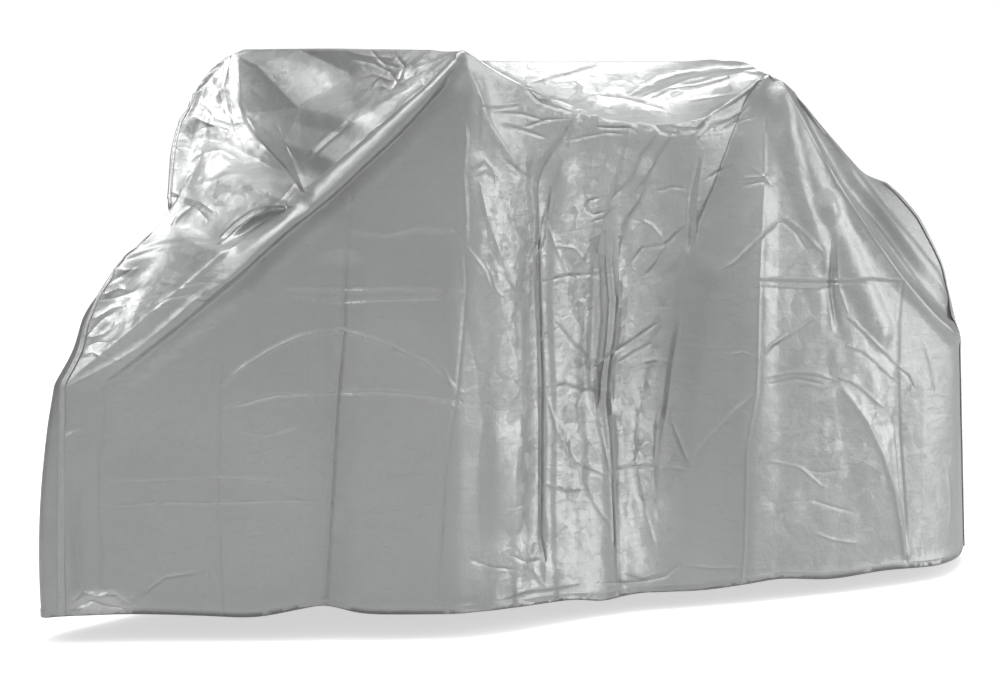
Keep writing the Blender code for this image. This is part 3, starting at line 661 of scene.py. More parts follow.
# Fine creases, too narrow for the mesh, which become bump. The columns are the same, and four common
# kinds of crease have their reaches and strengths here.
LOOSE = (6.5, 6.5, 0.3, 0.3)
WIDE = (7.3, 7.3, 0.3, 0.3)
NARROW = (5.5, 5.5, 0.3, 0.3)
PACKED = (6.8, 6.8, 0.3, 0.3)
NEAR_CREASES = (
    # the pocket's doubled rim, and the long crease down from the far grip
    (-3, 5, 5, 0.2, 0.4, ((238, 66), (241, 105), (246, 122), (256, 137), (268, 150), (287, 171),
        (301, 191))),
    (2.2, 4, 5, 0.6, 0.6, ((222, 236), (235, 223), (250, 212), (264, 206), (280, 205), (290, 206))),
    (-2.2, 5, 4, 0.6, 0.6, ((224, 239), (236, 228), (252, 216), (266, 210), (282, 208))),
    # the front slope
    (-2.64, *WIDE, ((205, 108), (214, 118), (232, 124), (242, 122))),
    (2.64, *WIDE, ((196, 118), (210, 124), (226, 130))),
    (-2.64, *WIDE, ((204, 128), (214, 126), (228, 128))),
    (2.64, 9.2, 9.2, 0.5, 0.3, ((230, 60), (224, 85), (228, 110), (240, 124))),
    (-2.64, 9.2, 7.3, 0.3, 0.3, ((212, 78), (220, 92), (223, 108))),
    (2.2, *WIDE, ((196, 160), (206, 152), (222, 150), (240, 160))),
    (-1.76, *WIDE, ((188, 165), (196, 156), (208, 150))),
    (-2.11, 9.2, 9.2, 1, 0.3, ((172, 200), (184, 204), (196, 208), (206, 218))),
    (2.11, 9.2, 7.3, 1, 0.3, ((172, 192), (186, 198), (200, 202), (214, 212))),
    (-2.64, 7.3, 7.3, 0.6, 0.3, ((174, 222), (182, 214), (192, 206))),
    (1.58, *WIDE, ((180, 226), (192, 214), (204, 208))),
    (1.76, *WIDE, ((268, 210), (284, 196), (296, 182))),
    (-2.2, *WIDE, ((280, 128), (284, 142), (294, 158))),
    (2.64, 9.2, 9.2, 0.3, 0.6, ((277, 124), (288, 150), (296, 170), (303, 188))),
    (-2.64, *WIDE, ((312, 156), (330, 140), (350, 124))),
    (2.2, *LOOSE, ((308, 152), (326, 136), (346, 121))),
    (1.72, *WIDE, ((348, 52), (368, 56), (392, 58), (412, 54))),
    (-1.72, *LOOSE, ((356, 60), (374, 64), (390, 72), (398, 84))),
    (1.72, *LOOSE, ((360, 78), (374, 74), (390, 80), (404, 78))),
    (-1.72, *LOOSE, ((372, 52), (384, 64), (398, 68), (418, 64))),
    (1.72, *LOOSE, ((368, 90), (382, 86), (394, 92), (402, 88))),
    (-1.72, *LOOSE, ((396, 56), (404, 66), (400, 78), (392, 90))),
    (1.72, *LOOSE, ((408, 72), (420, 66), (434, 62), (446, 56))),
    (-1.14, *LOOSE, ((400, 82), (412, 78), (424, 72))),
    # facets beside the front seam
    (-2.29, 7.3, 7.3, 1, 0.3, ((110, 282), (122, 276), (134, 268))),
    (2.29, 9.2, 7.3, 1, 0.3, ((106, 294), (118, 288), (128, 290))),
    (-1.72, 7.3, 7.3, 1, 0.3, ((102, 300), (116, 298), (134, 292), (150, 280))),
    (2.29, 9.2, 7.3, 1, 0.3, ((96, 318), (112, 308), (122, 306))),
    (-2.86, 7.3, 9.2, 1, 0.3, ((92, 330), (104, 318), (116, 312))),
    (2.29, 9.2, 7.3, 1, 0.3, ((88, 338), (104, 334), (120, 322))),
    (-1.72, 7.3, 7.3, 1, 0.3, ((84, 348), (96, 342), (110, 342))),
    (1.72, 7.3, 7.3, 1, 0.3, ((80, 356), (92, 352), (104, 358))),
    (2.2, *WIDE, ((140, 300), (160, 292), (184, 288), (200, 285))),
    (-2.2, *WIDE, ((150, 306), (170, 298), (192, 294))),
    (1.76, *WIDE, ((160, 282), (176, 284), (190, 282))),
    (1.76, *WIDE, ((128, 322), (144, 314), (160, 308))),
    # packing creases and loose wrinkles of the front wall
    (-1.7, 6.8, 6.8, 0.3, 0.4, ((107, 383), (98, 465), (98, 513), (102, 557), (98, 592))),
    (-1.7, 6.8, 6.8, 0.3, 0.6, ((222, 340), (220, 387), (218, 500), (222, 613))),
    (-2.48, 8.1, 8.1, 0.3, 1, ((351, 200), (347, 245), (345, 280), (344, 330), (337, 400), (330, 520),
        (325, 604))),
    (1.7, 6.8, 6.8, 0.3, 0.5, ((275, 290), (344, 291), (400, 290), (463, 292))),
    (-1.99, 5.4, 5.4, 0.3, 0.3, ((290, 297), (340, 302), (380, 300), (460, 297))),
    (1.7, *PACKED, ((98, 481), (140, 482), (217, 478), (300, 482))),
    (-1.87, 6.8, 6.8, 0.3, 0.5, ((98, 508), (160, 502), (217, 503), (297, 500), (330, 503))),
    (2.56, 8.1, 6.8, 0.3, 0.5, ((222, 385), (243, 367), (270, 350), (300, 336), (343, 330))),
    (2.56, 8.1, 6.8, 0.5, 0.3, ((343, 330), (385, 344), (425, 362), (460, 393))),
    (-2.27, 6.8, 6.8, 0.3, 0.5, ((223, 409), (247, 403), (277, 395), (333, 393))),
    (-2.27, 6.8, 6.8, 0.5, 0.3, ((333, 393), (380, 392), (420, 395), (460, 401))),
    (1.7, *PACKED, ((350, 232), (385, 238), (420, 230), (455, 233))),
    (-1.7, *PACKED, ((235, 430), (265, 436), (300, 425))),
    (1.7, *PACKED, ((220, 512), (232, 528), (246, 536), (268, 534))),
    (2.14, *PACKED, ((140, 598), (150, 588), (165, 577), (200, 572))),
    (1.7, *PACKED, ((66, 437), (74, 432), (84, 430))),
    (2.48, 6.8, 6.8, 0.4, 0.4, ((74, 600), (84, 592), (98, 597), (112, 592), (126, 602))),
    (-2.48, 5.4, 5.4, 0.4, 0.4, ((78, 607), (92, 601), (106, 606), (122, 608))),
    (-1.93, 6.8, 6.8, 0.4, 0.6, ((455, 230), (464, 242), (466, 290), (463, 330), (457, 390),
        (450, 435), (445, 480), (441, 540), (437, 600))),
    (2.2, 6.8, 6.8, 0.4, 0.3, ((464, 112), (467, 140), (464, 170), (467, 215), (466, 245))),
    (2.14, *PACKED, ((432, 352), (446, 372), (457, 398))),
    (2.14, *PACKED, ((436, 405), (446, 404), (458, 408))),
    # between the grip and the middle
    (-2.09, *LOOSE, ((507, 162), (518, 170), (528, 178))),
    (2.09, *LOOSE, ((474, 168), (484, 160), (490, 166), (496, 176))),
    (-1.98, *LOOSE, ((476, 178), (486, 172), (496, 180), (494, 188))),
    (-1.76, *NARROW, ((495, 112), (522, 114), (545, 121))),
    (-2.09, 6.5, 5.5, 0.3, 0.3, ((527, 127), (545, 120), (567, 119))),
    (-1.98, 6.5, 5.5, 0.3, 0.3, ((500, 124), (522, 130), (545, 138))),
    (-1.98, 6.5, 5.5, 0.3, 0.3, ((567, 141), (590, 136), (606, 133), (626, 134))),
    (-1.32, *NARROW, ((482, 107), (500, 108), (520, 106))),
    (1.76, *NARROW, ((467, 247), (476, 258), (486, 272), (491, 287))),
    (2.86, 8.2, 9.2, 0.3, 0.3, ((481, 187), (487, 215), (494, 235), (500, 252), (506, 272),
        (512, 292), (524, 318))),
    (1.76, *LOOSE, ((487, 266), (493, 275), (496, 290), (502, 296))),
    (-1.76, *LOOSE, ((505, 205), (515, 228), (525, 244), (532, 262))),
    # the creases that cross the crinkled middle
    (-3.52, 5.5, 8.2, 0.3, 1, ((565, 131), (552, 150), (542, 168), (537, 182), (537, 215), (539, 265),
        (540, 327), (542, 387), (541, 420), (541, 495), (540, 535), (545, 558))),
    (2.2, 6.5, 4.7, 0.3, 0.3, ((536, 190), (535, 250), (537, 330), (538, 420), (538, 520))),
    (-2.09, *NARROW, ((549, 188), (545, 215), (540, 237), (529, 262))),
    (1.98, *NARROW, ((553, 184), (549, 212), (543, 240), (533, 264))),
    (2.09, *LOOSE, ((546, 220), (556, 247), (562, 262), (568, 275))),
    (1.98, *LOOSE, ((546, 255), (558, 246), (575, 248), (586, 262))),
    (-2.31, 6.5, 5.5, 0.3, 0.3, ((537, 284), (565, 276), (600, 274), (616, 274))),
    (2.09, 6.5, 8.2, 0.3, 0.3, ((630, 131), (625, 147), (620, 172), (612, 196), (606, 214))),
    (-2.09, *LOOSE, ((657, 135), (640, 157), (630, 180), (613, 198))),
    (1.98, *LOOSE, ((677, 127), (660, 152), (647, 175), (632, 195))),
    (-3, 7.3, 8.2, 0.3, 0.5, ((647, 182), (640, 202), (626, 222), (620, 252), (618, 280))),
    (-2.31, *NARROW, ((600, 198), (588, 201), (585, 209), (594, 215), (607, 211))),
    (-1.76, *NARROW, ((592, 222), (604, 218), (616, 206))),
    (-3.52, 6.5, 7.3, 0.3, 1, ((604, 222), (598, 247), (600, 277), (601, 320), (597, 362), (597, 405))),
    (3.19, 5.5, 6.5, 0.3, 1, ((607, 232), (606, 262), (609, 300), (607, 340), (602, 375), (600, 400))),
    (-2.97, 5.5, 5.5, 0.3, 1, ((613, 236), (612, 262), (616, 300), (614, 330), (608, 370), (606, 402),
        (610, 440), (612, 495), (614, 545))),
    (3.52, 7.3, 6.5, 0.3, 1, ((619, 240), (619, 300), (618, 330), (612, 370), (611, 402), (615, 440),
        (616, 500), (617, 560), (620, 601))),
    (2.64, 6.5, 7.3, 0.3, 0.6, ((597, 407), (601, 430), (606, 452), (611, 475))),
    (-2.31, 6.5, 6.5, 0.3, 0.5, ((557, 324), (572, 342), (587, 357), (596, 366))),
    (-2.31, 6.5, 6.5, 0.5, 0.3, ((596, 366), (610, 355), (630, 342), (656, 324))),
    (-1.76, *NARROW, ((540, 345), (546, 334), (558, 328))),
    (2.09, *LOOSE, ((542, 387), (565, 382), (582, 388), (607, 391))),
    (1.98, 7.3, 6.5, 0.3, 0.4, ((547, 395), (560, 440), (575, 462), (590, 468), (608, 476))),
    (1.98, *WIDE, ((578, 468), (586, 490), (596, 506), (612, 527))),
    (-1.98, *LOOSE, ((612, 471), (632, 466), (656, 467))),
    (1.98, *LOOSE, ((544, 483), (565, 490), (582, 489))),
    (-2, 7.3, 6.5, 0.3, 0.3, ((699, 160), (694, 180), (690, 202), (691, 227), (690, 255))),
    (1.6, 7.3, 6.5, 0.3, 0.3, ((703, 158), (699, 182), (696, 210), (696, 245))),
    (-2.09, *LOOSE, ((708, 178), (718, 172), (729, 167))),
    (-2.09, *LOOSE, ((632, 262), (642, 248), (665, 245), (685, 226))),
    (-1.98, *LOOSE, ((665, 246), (655, 265), (645, 276))),
    (1.76, *LOOSE, ((642, 220), (653, 226), (662, 238))),
    (-2.09, *LOOSE, ((660, 191), (672, 187), (684, 188))),
    (-1.98, *LOOSE, ((620, 362), (634, 352), (650, 344))),
    (-2.6, 6.5, 8.2, 0.3, 0.6, ((675, 318), (667, 365), (662, 407), (656, 437), (654, 475), (659, 522))),
    (2.64, 6.5, 6.5, 0.3, 0.4, ((680, 318), (672, 365), (667, 407), (661, 440), (659, 475))),
    (1.76, *LOOSE, ((643, 362), (655, 360), (668, 362))),
    (2.09, *WIDE, ((640, 495), (648, 520), (655, 545))),
    (2.09, *WIDE, ((556, 420), (566, 440), (572, 470))),
    # the lip from grip to saddle, with the ledges under it
    (2.64, 8.2, 6.5, 1, 0.6, ((472, 55), (490, 67), (515, 81), (527, 87), (538, 99), (557, 100),
        (571, 105), (595, 115), (610, 117), (630, 121), (652, 120), (665, 122), (680, 127),
        (697, 127), (712, 112), (735, 100), (755, 85), (770, 68))),
    (-2.64, *LOOSE, ((527, 88), (533, 96), (540, 102))),
    (-2.64, 5.5, 6.5, 0.3, 0.3, ((595, 127), (612, 128), (630, 128), (636, 132))),
    (-2.31, 5.5, 6.5, 0.3, 0.3, ((545, 104), (560, 108), (572, 112))),
    (-2.64, 6.5, 6.5, 0.4, 0.3, ((652, 122), (662, 132), (676, 134))),
    (2.31, *LOOSE, ((700, 136), (712, 124), (730, 118), (748, 108))),
    (-2.09, *LOOSE, ((722, 130), (736, 122), (752, 118))),
    (-1.76, *NARROW, ((532, 82), (562, 74), (600, 64))),
    (-4.4, 6.5, 6.5, 0.3, 1, ((632, 94), (655, 85), (677, 77), (715, 70), (765, 66))),
    (3.52, 6.5, 6.5, 0.3, 1, ((645, 96), (668, 87), (690, 79), (725, 73), (765, 68))),
    (-3.52, 6.5, 6.5, 0.3, 0.6, ((655, 96), (668, 88), (695, 87), (727, 77))),
    (-2.64, *NARROW, ((690, 100), (712, 97), (735, 94))),
    (2.64, *LOOSE, ((600, 96), (622, 98), (645, 104), (665, 110))),
    # the saddle's cone and the rear panel
    (2.09, 6.5, 6.5, 0.4, 0.8, ((765, 110), (765, 177), (763, 210), (760, 280), (758, 370),
        (757, 393), (747, 450), (745, 550), (742, 584))),
    (1.43, *LOOSE, ((743, 178), (766, 176), (780, 172))),
    (-1.43, *LOOSE, ((744, 186), (762, 182), (776, 186))),
    (1.43, *LOOSE, ((754, 168), (766, 178), (774, 190))),
    (2.64, *WIDE, ((725, 267), (733, 263), (748, 249), (760, 237), (783, 217))),
    (2.64, *WIDE, ((783, 217), (797, 227), (810, 238), (820, 250))),
    (-1.54, *LOOSE, ((783, 222), (796, 233), (806, 250))),
    (2.09, 5.5, 5.5, 0.4, 0.3, ((759, 278), (800, 279), (833, 280), (870, 279), (907, 280))),
    (-1.76, 4.7, 4.7, 0.4, 0.3, ((759, 281), (800, 283), (833, 283), (870, 283))),
    (1.76, 4.7, 4.7, 0.4, 0.3, ((760, 285), (790, 287), (817, 288), (838, 284))),
    (-1.8, 7.3, 6.5, 0.4, 0.3, ((832, 252), (832, 275), (833, 297), (838, 325))),
    (1.9, 7.3, 5.5, 0.3, 0.3, ((837, 245), (838, 270), (840, 292), (848, 312))),
    (1.4, 6.5, 7.3, 0.3, 0.3, ((826, 262), (827, 290), (830, 312), (832, 330))),
    (2.31, *LOOSE, ((768, 347), (793, 333), (820, 313))),
    (1.98, *LOOSE, ((760, 360), (772, 345), (790, 330))),
    (1.54, *NARROW, ((727, 355), (742, 352), (756, 357))),
    (1.76, *LOOSE, ((767, 377), (793, 372), (815, 373), (835, 380))),
    (-1.54, *LOOSE, ((770, 384), (796, 379), (822, 384))),
    (2.31, *LOOSE, ((850, 317), (860, 328), (870, 337), (885, 352), (899, 367))),
    (1.98, *LOOSE, ((848, 345), (865, 352), (880, 366), (895, 380))),
    (2.09, *LOOSE, ((837, 377), (852, 381), (866, 392), (883, 407))),
    (-2.31, 6.5, 6.5, 0.4, 0.6, ((902, 283), (899, 320), (898, 367), (899, 433), (904, 500),
        (907, 562))),
    (-2.09, *NARROW, ((900, 370), (908, 376), (913, 387), (905, 396))),
    (1.76, *LOOSE, ((763, 458), (778, 447), (793, 434), (806, 430))),
    (1.76, *LOOSE, ((770, 461), (786, 464), (800, 467), (823, 487))),
    (-1.54, *LOOSE, ((808, 470), (822, 473), (838, 470))),
    (1.54, *LOOSE, ((815, 533), (834, 540), (856, 543))),
    (-1.43, *LOOSE, ((812, 500), (830, 506), (852, 512))),
    (2.64, 8.2, 8.2, 0.3, 0.3, ((688, 466), (700, 448), (715, 432), (735, 411), (753, 395))),
    (2.09, 8.2, 8.2, 0.3, 0.3, ((674, 427), (681, 445), (688, 462))),
    (1.43, *LOOSE, ((657, 469), (672, 467), (686, 470))),
    (2.31, 7.3, 7.3, 1, 1, ((777, 72), (803, 117), (837, 183), (867, 227), (903, 277), (955, 333))),
    (2.64, 7.3, 7.3, 1, 1, ((817, 122), (840, 150), (863, 177), (903, 227), (937, 270), (955, 317))),
    (2.09, *WIDE, ((948, 470), (951, 500), (950, 530))),
    (1.76, *LOOSE, ((925, 345), (930, 365), (934, 390))),
    # loose folds along the hem
    (-2.09, *LOOSE, ((472, 560), (490, 567), (517, 570))),
    (2.09, *LOOSE, ((500, 600), (522, 592), (545, 589), (575, 584))),
    (2.64, 7.3, 6.5, 0.3, 0.3, ((518, 545), (524, 560), (532, 574), (545, 586))),
    (-2.31, *LOOSE, ((512, 556), (526, 562), (540, 560))),
    (-2.09, 6.5, 6.5, 0.3, 0.4, ((600, 583), (625, 583), (647, 581), (665, 577), (680, 565))),
    (2.09, *LOOSE, ((628, 573), (642, 578), (660, 572))),
    (1.76, *LOOSE, ((690, 566), (715, 568), (740, 567))),
)

# Where the film is crumpled, as soft ovals: middle, half width, half height, turn clockwise, strength.
# The film is also lighter there, partly by its whitening at creases and partly by painted light.
CRUMPLED = (
    (575, 210, 100, 95, 0, 0.55),
    (590, 420, 70, 190, 0, 0.6),
    (500, 330, 28, 150, -6, 0.5),
    (515, 560, 40, 30, 0, 0.9),
    (650, 480, 30, 110, 5, 0.6),
    (390, 74, 42, 26, -12, 0.9),
    (220, 120, 45, 60, 20, 0.7),
    (225, 185, 75, 30, -10, 0.35),
    (300, 100, 70, 40, 0, 0.12),
    (110, 320, 45, 50, -40, 0.8),
    (180, 290, 60, 28, -35, 0.4),
    (640, 118, 110, 14, 5, 1.1),
    (680, 85, 90, 18, -5, 0.7),
    (550, 75, 70, 16, 5, 0.35),
    (800, 260, 60, 100, 0, 0.4),
    (870, 390, 45, 90, 0, 0.45),
    (820, 470, 70, 90, 0, 0.45),
    (930, 430, 25, 130, 0, 0.1),
    (100, 603, 34, 12, 0, 1.6),
    (270, 480, 220, 120, 0, 0.12),
    (390, 370, 80, 80, 0, 0.15),
)
PLAIN_CRUMPLE = 0.10
# Facets: cell along the cover, cell round it, height, seed (mm).
FACETS = (
    (70, 110, 3.4, 11),
    (34, 48, 1.5, 23),
)

# Folds and creases of the far side, in the same columns, with lines in millimetres along x and down
# from one metre up. It hangs straighter than the near side.
FAR_CREASES = (
    (-24, 90, 90, 0.6, 0.3, ((-190, 372), (-120, 322), (-60, 296), (-35, 268), (-30, 225))),
    (-1.6, 9, 9, 0.3, 0.6, ((165, 60), (160, 420), (158, 950))),
    (2.2, 10, 9, 0.3, 0.6, ((430, 180), (440, 500), (436, 955))),
    (-2, 9, 9, 0.3, 0.6, ((700, 130), (706, 520), (700, 958))),
    (2, 9, 9, 0.3, 0.6, ((985, 120), (975, 560), (970, 955))),
    (-1.8, 9, 9, 0.3, 0.6, ((1260, 300), (1262, 620), (1264, 955))),
    (1.4, 8, 8, 0.3, 0.3, ((-180, 620), (160, 612), (430, 618), (700, 610))),
    (-1.4, 8, 8, 0.3, 0.3, ((430, 626), (700, 622), (980, 618), (1260, 626))),
    (1.4, 8, 8, 0.3, 0.3, ((180, 300), (430, 306), (700, 298), (980, 310))),
    (3, 22, 30, 1, 0.3, ((196, 15), (240, 260), (300, 520))),
    (-4, 26, 34, 1, 0.3, ((200, 20), (110, 320), (20, 640))),
    (3, 22, 26, 1, 0.3, ((1106, 25), (1150, 280), (1230, 560))),
    (-4, 24, 34, 1, 0.3, ((1104, 30), (1010, 340), (900, 660))),
    (2.6, 12, 12, 0.4, 0.4, ((330, 90), (350, 240), (400, 330))),
    (-2.4, 12, 12, 0.4, 0.4, ((560, 140), (590, 320), (560, 470))),
    (2.2, 10, 10, 0.3, 0.3, ((820, 150), (840, 300), (800, 480))),
    (-2, 10, 10, 0.3, 0.3, ((1330, 380), (1400, 520), (1450, 700))),
)
FAR_CRUMPLED = (
    (520, 420, 300, 330, 0, 0.45),
    (900, 700, 260, 240, 0, 0.4),
    (1380, 560, 160, 300, 0, 0.5),
    (-120, 640, 120, 260, 0, 0.45),
    (620, 930, 700, 60, 0, 0.5),
)
# How fast the near side's creases fade past the top, and all of them towards a seam.
SIDE_FADE = 0.030
EDGE_FADE = 0.006
# The hem's welded band: how wide and how proud it is, how sharp its edge, and the turned film behind
# it as rows, each so far inward and so far up.
HEM_WIDE = 0.0130
HEM_PROUD = 0.0011
HEM_EDGE = 0.0010
HEM_TURNED = ((-0.0004, 0.0004), (-0.0010, 0.0012), (-0.0012, 0.0040), (-0.0010, 0.0125))


def film_relief(places, laid, near_share):
    """What stands on the plain drape at each place: a height, how crumpled it is, and two pulls.

    The near side's tables are read by the picture and the far side's by its own millimetres, each
    weighed by how much a place is of that side. The pulls are the lips' and the pocket's.
    """
    seen, span = sight(places)
    side = places + MEASURED_FROM
    side_mm = np.stack([side[:, 0], 1 - side[:, 2]], axis=1) * 1000
    height = crease_heights(seen, span, NEAR_FOLDS, 0) + crease_heights(seen, span, NEAR_PLANES, 1)
    height += crease_heights(seen, span, NEAR_EDGES, CREASE_POWER)
    height += plane_heights(seen, SLOPE_CORNERS, SLOPE_PLANES)
    height += plane_heights(seen, PANEL_CORNERS, PANEL_PLANES)
    height *= near_share
    height += crease_heights(side_mm, span * 0 + 0.001, FAR_CREASES, CREASE_POWER) * (1 - near_share)
    crumple = patch_strength(seen, CRUMPLED) * near_share
    crumple += patch_strength(side_mm, FAR_CRUMPLED) * (1 - near_share)
    crumple += PLAIN_CRUMPLE
    for along, round_it, tall, seed in FACETS:
        height += crumple * tall / 1000 * facets(laid / (along, round_it), seed)
    hung = crease_heights(seen, span, LIPS, 0) * near_share
    sunk = patch_strength(seen, POCKET) * POCKET_DEEP * near_share
    return height, crumple, hung[:, None] * LIP_WAY, sunk[:, None] * POCKET_WAY


def film_grid():
    """The film as one grid of points, section by section, each from the near hem over to the far one.

    The plain drape with rounded bends, moved along its normals by the folds, creases, facets and hem,
    and then pulled at its lips and its pocket. The film turned behind each hem comes last. With the
    points come how crumpled each is, and how much it is of the near side.
    """
    stretches = [
        np.linspace(start, end, count, endpoint=False)
        for start, end, count in zip(CORNERS[:-1], CORNERS[1:], SECTIONS)
    ]
    shares = np.concatenate([*stretches, [1.0]])
    sag = section_line(SLOPE_SAG, shares)
    near = half_drape(HEM_NEAR, RIDGE_NEAR, BELLY_NEAR, sag, shares, SEAM_REACH_NEAR)
    far = half_drape(HEM_FAR, SHOULDER_FAR, BELLY_FAR, sag * 0, shares, SEAM_REACH_FAR)
    plain = np.concatenate([near, far[:, -2::-1]], axis=1)
    grid = eased_below(rounded(plain, ROUNDING), shares)
    for seam in (0, -1):
        grid[seam] = plain[seam]
    normals = surface_normals(grid)
    top = grid.shape[1] // 2
    side_view = grid[..., [0, 2]]
    height = np.concatenate([
        main_folds(side_view[:, :top + 1], FOLDS_NEAR),
        main_folds(side_view[:, top + 1:], FOLDS_FAR),
    ], axis=1)
    height *= np.clip(np.minimum(shares, 1 - shares)[:, None] / FOLD_FADE, 0, 1)
    grid -= MEASURED_FROM

    # how far round the cover and how far along it each point lies, and then what that decides
    girth = np.cumsum(np.linalg.norm(np.diff(grid, axis=1, prepend=grid[:, :1]), axis=2), axis=1)
    travel = np.linalg.norm(np.diff(grid[:, :top], axis=0), axis=2).mean(axis=1)
    travel = np.broadcast_to(np.concatenate([[0], np.cumsum(travel)])[:, None], girth.shape)
    near_share = np.exp(-(np.maximum(girth - girth[:, top:top + 1], 0) / SIDE_FADE) ** 2)
    from_hem = np.minimum(girth, girth[:, -1:] - girth)
    edge = np.clip(np.minimum(travel, travel[-1:] - travel) / EDGE_FADE, 0, 1)
    band = np.clip((HEM_WIDE - from_hem) / HEM_EDGE, 0, 1) * HEM_PROUD * edge

    laid = np.stack([travel.reshape(-1), girth.reshape(-1)], axis=1) * 1000
    detail, crumple, *pulls = film_relief(grid.reshape(-1, 3), laid, near_share.reshape(-1))
    grid += normals * (height + detail.reshape(girth.shape) * edge + band)[..., None]
    for pull in pulls:
        grid += pull.reshape(grid.shape)

    inward, up = np.array(HEM_TURNED).T
    behind = grid[:, [0, -1], None] + normals[:, [0, -1], None] * inward[:, None]
    behind[..., 2] += up
    grid = np.concatenate([behind[:, 0, ::-1], grid, behind[:, 1]], axis=1)
    more_rows = ((0, 0), (len(HEM_TURNED), len(HEM_TURNED)))
    crumple = np.pad(crumple.reshape(girth.shape), more_rows, mode="edge")
    return grid, crumple, np.pad(near_share * edge, more_rows, mode="edge")


def mesh_piece(name, points, faces):
    """A mesh object with smooth faces, its points already in place."""
    mesh = bpy.data.meshes.new(name)
    mesh.from_pydata(points, [], faces)
    mesh.shade_smooth()
    piece = bpy.data.objects.new(name, mesh)
    bpy.context.collection.objects.link(piece)
    return piece


# The far side keeps every third row, and all of those at its hem. Next to the seams its faces take in
# the near side's points between, so that the two sides share every point of both seams. The film is
# then thinned to a number of triangles, which leaves the most where it bends the most.
FAR_STEP = 3
KEPT_TRIANGLES = 196000
film_points, film_crumple, film_near = film_grid()
sections, rows = film_points.shape[:2]
number = np.arange(sections * rows).reshape(sections, rows)
middle_row = rows // 2
for seam in (0, -1):
    number[seam, middle_row + 1:] = number[seam, :middle_row][::-1]
hem_start = rows - len(HEM_ROWS) - len(HEM_TURNED)
kept = [*range(middle_row), *range(middle_row, hem_start, FAR_STEP), *range(hem_start, rows)]
inner = number[:, kept]
faces = np.stack((inner[:-1, :-1], inner[1:, :-1], inner[1:, 1:], inner[:-1, 1:]), axis=-1)
film_faces = faces[1:-1].reshape(-1, 4).tolist()
for low, high in zip(kept[:-1], kept[1:]):
    between = slice(high, low, -1)
    film_faces.append([number[0, low], number[1, low], number[1, high], *number[0, between]])
    between = slice(low, high + 1)
    film_faces.append([number[-2, low], *number[-1, between], number[-2, high]])
used = np.zeros(sections * rows, bool)
used[inner[1:-1]] = True
used[number[[0, -1], :middle_row + 1]] = True
place = np.cumsum(used) - 1
film_faces = [[place[corner] for corner in face] for face in film_faces]
film = mesh_piece("film_sheet", film_points.reshape(-1, 3)[used].tolist(), film_faces)
for attribute, values in ("crumple", film_crumple), ("near", film_near):
    layer = film.data.attributes.new(attribute, "FLOAT", "POINT")
    layer.data.foreach_set("value", values.reshape(-1)[used].astype(np.float32))
thinned = film.modifiers.new("thinned", "DECIMATE")
thinned.ratio = KEPT_TRIANGLES / (2 * len(film_faces))
thinned.use_collapse_triangulate = True
settled = film.evaluated_get(bpy.context.evaluated_depsgraph_get())
film_mesh = bpy.data.meshes.new_from_object(settled)
film.modifiers.clear()
film.data = film_mesh

# The fine creases, read at the thinned mesh's own points.
kept_points = np.empty(len(film_mesh.vertices) * 3)
film_mesh.vertices.foreach_get("co", kept_points)
kept_points = kept_points.reshape(-1, 3)
nearness = np.empty(len(kept_points))
film_mesh.attributes["near"].data.foreach_get("value", nearness)
seen, span = sight(kept_points)
crease_shares, crease_lifts = crease_layers(seen, span, NEAR_CREASES)
crease_lifts *= nearness[:, None]
for start in range(0, CREASE_LAYERS, 3):
    for attribute, values in ("crease_share", crease_shares), ("crease_lift", crease_lifts):
        layer = film_mesh.attributes.new(f"{attribute}_{start}", "FLOAT_VECTOR", "POINT")
        layer.data.foreach_set("vector", values[:, start:start + 3].reshape(-1).astype(np.float32))


class Wire:
    """One output of a material's nodes: sums and products of wires and numbers become Math nodes."""

    def __init__(self, tree, socket=None):
        self.tree = tree
        self.socket = socket

    def make(self, kind, settings, values, output=0):
        """A new node: its settings, or its ramp's stops, and then its sockets' values or links."""
        node = self.tree.nodes.new(kind)
        for name, value in settings.items():
            if name == "stops":
                ramp = node.color_ramp.elements
                while len(ramp) < len(value):
                    ramp.new(0.5)
                for stop, (place, grey) in zip(ramp, value):
                    stop.position = place
                    stop.color = (grey, grey, grey, 1)
            else:
                setattr(node, name, value)
        for name, value in values.items():
            if isinstance(value, Wire):
                self.tree.links.new(value.socket, node.inputs[name])
            else:
                node.inputs[name].default_value = value
        return Wire(self.tree, node.outputs[output])

    def maths(self, operation, first, second=0):
        """A Math node on two wires or numbers."""
        return self.make("ShaderNodeMath", {"operation": operation}, {0: first, 1: second})

    def flat_cells(self, place, scale):
        """Heights of flat facets: in each cell, the way from its middle along the cell's random tilt."""
        sockets = {"Vector": place, "Scale": scale}
        cell = self.make("ShaderNodeTexVoronoi", {"feature": "F1"}, sockets, "Color")
        middle = Wire(self.tree, cell.socket.node.outputs["Position"])
        vector, less = "ShaderNodeVectorMath", {"operation": "SUBTRACT"}
        tilt = self.make(vector, less, {0: cell, 1: (0.5, 0.5, 0.5)})
        off = self.make(vector, less, {0: place, 1: middle})
        return self.make(vector, {"operation": "DOT_PRODUCT"}, {0: tilt, 1: off}, "Value")

    def __add__(self, other):
        return self.maths("ADD", self, other)

    def __sub__(self, other):
        return self.maths("SUBTRACT", self, other)

    def __rsub__(self, other):
        return self.maths("SUBTRACT", other, self)

    def __mul__(self, other):
        return self.maths("MULTIPLY", self, other)

    __radd__ = __add__
    __rmul__ = __mul__


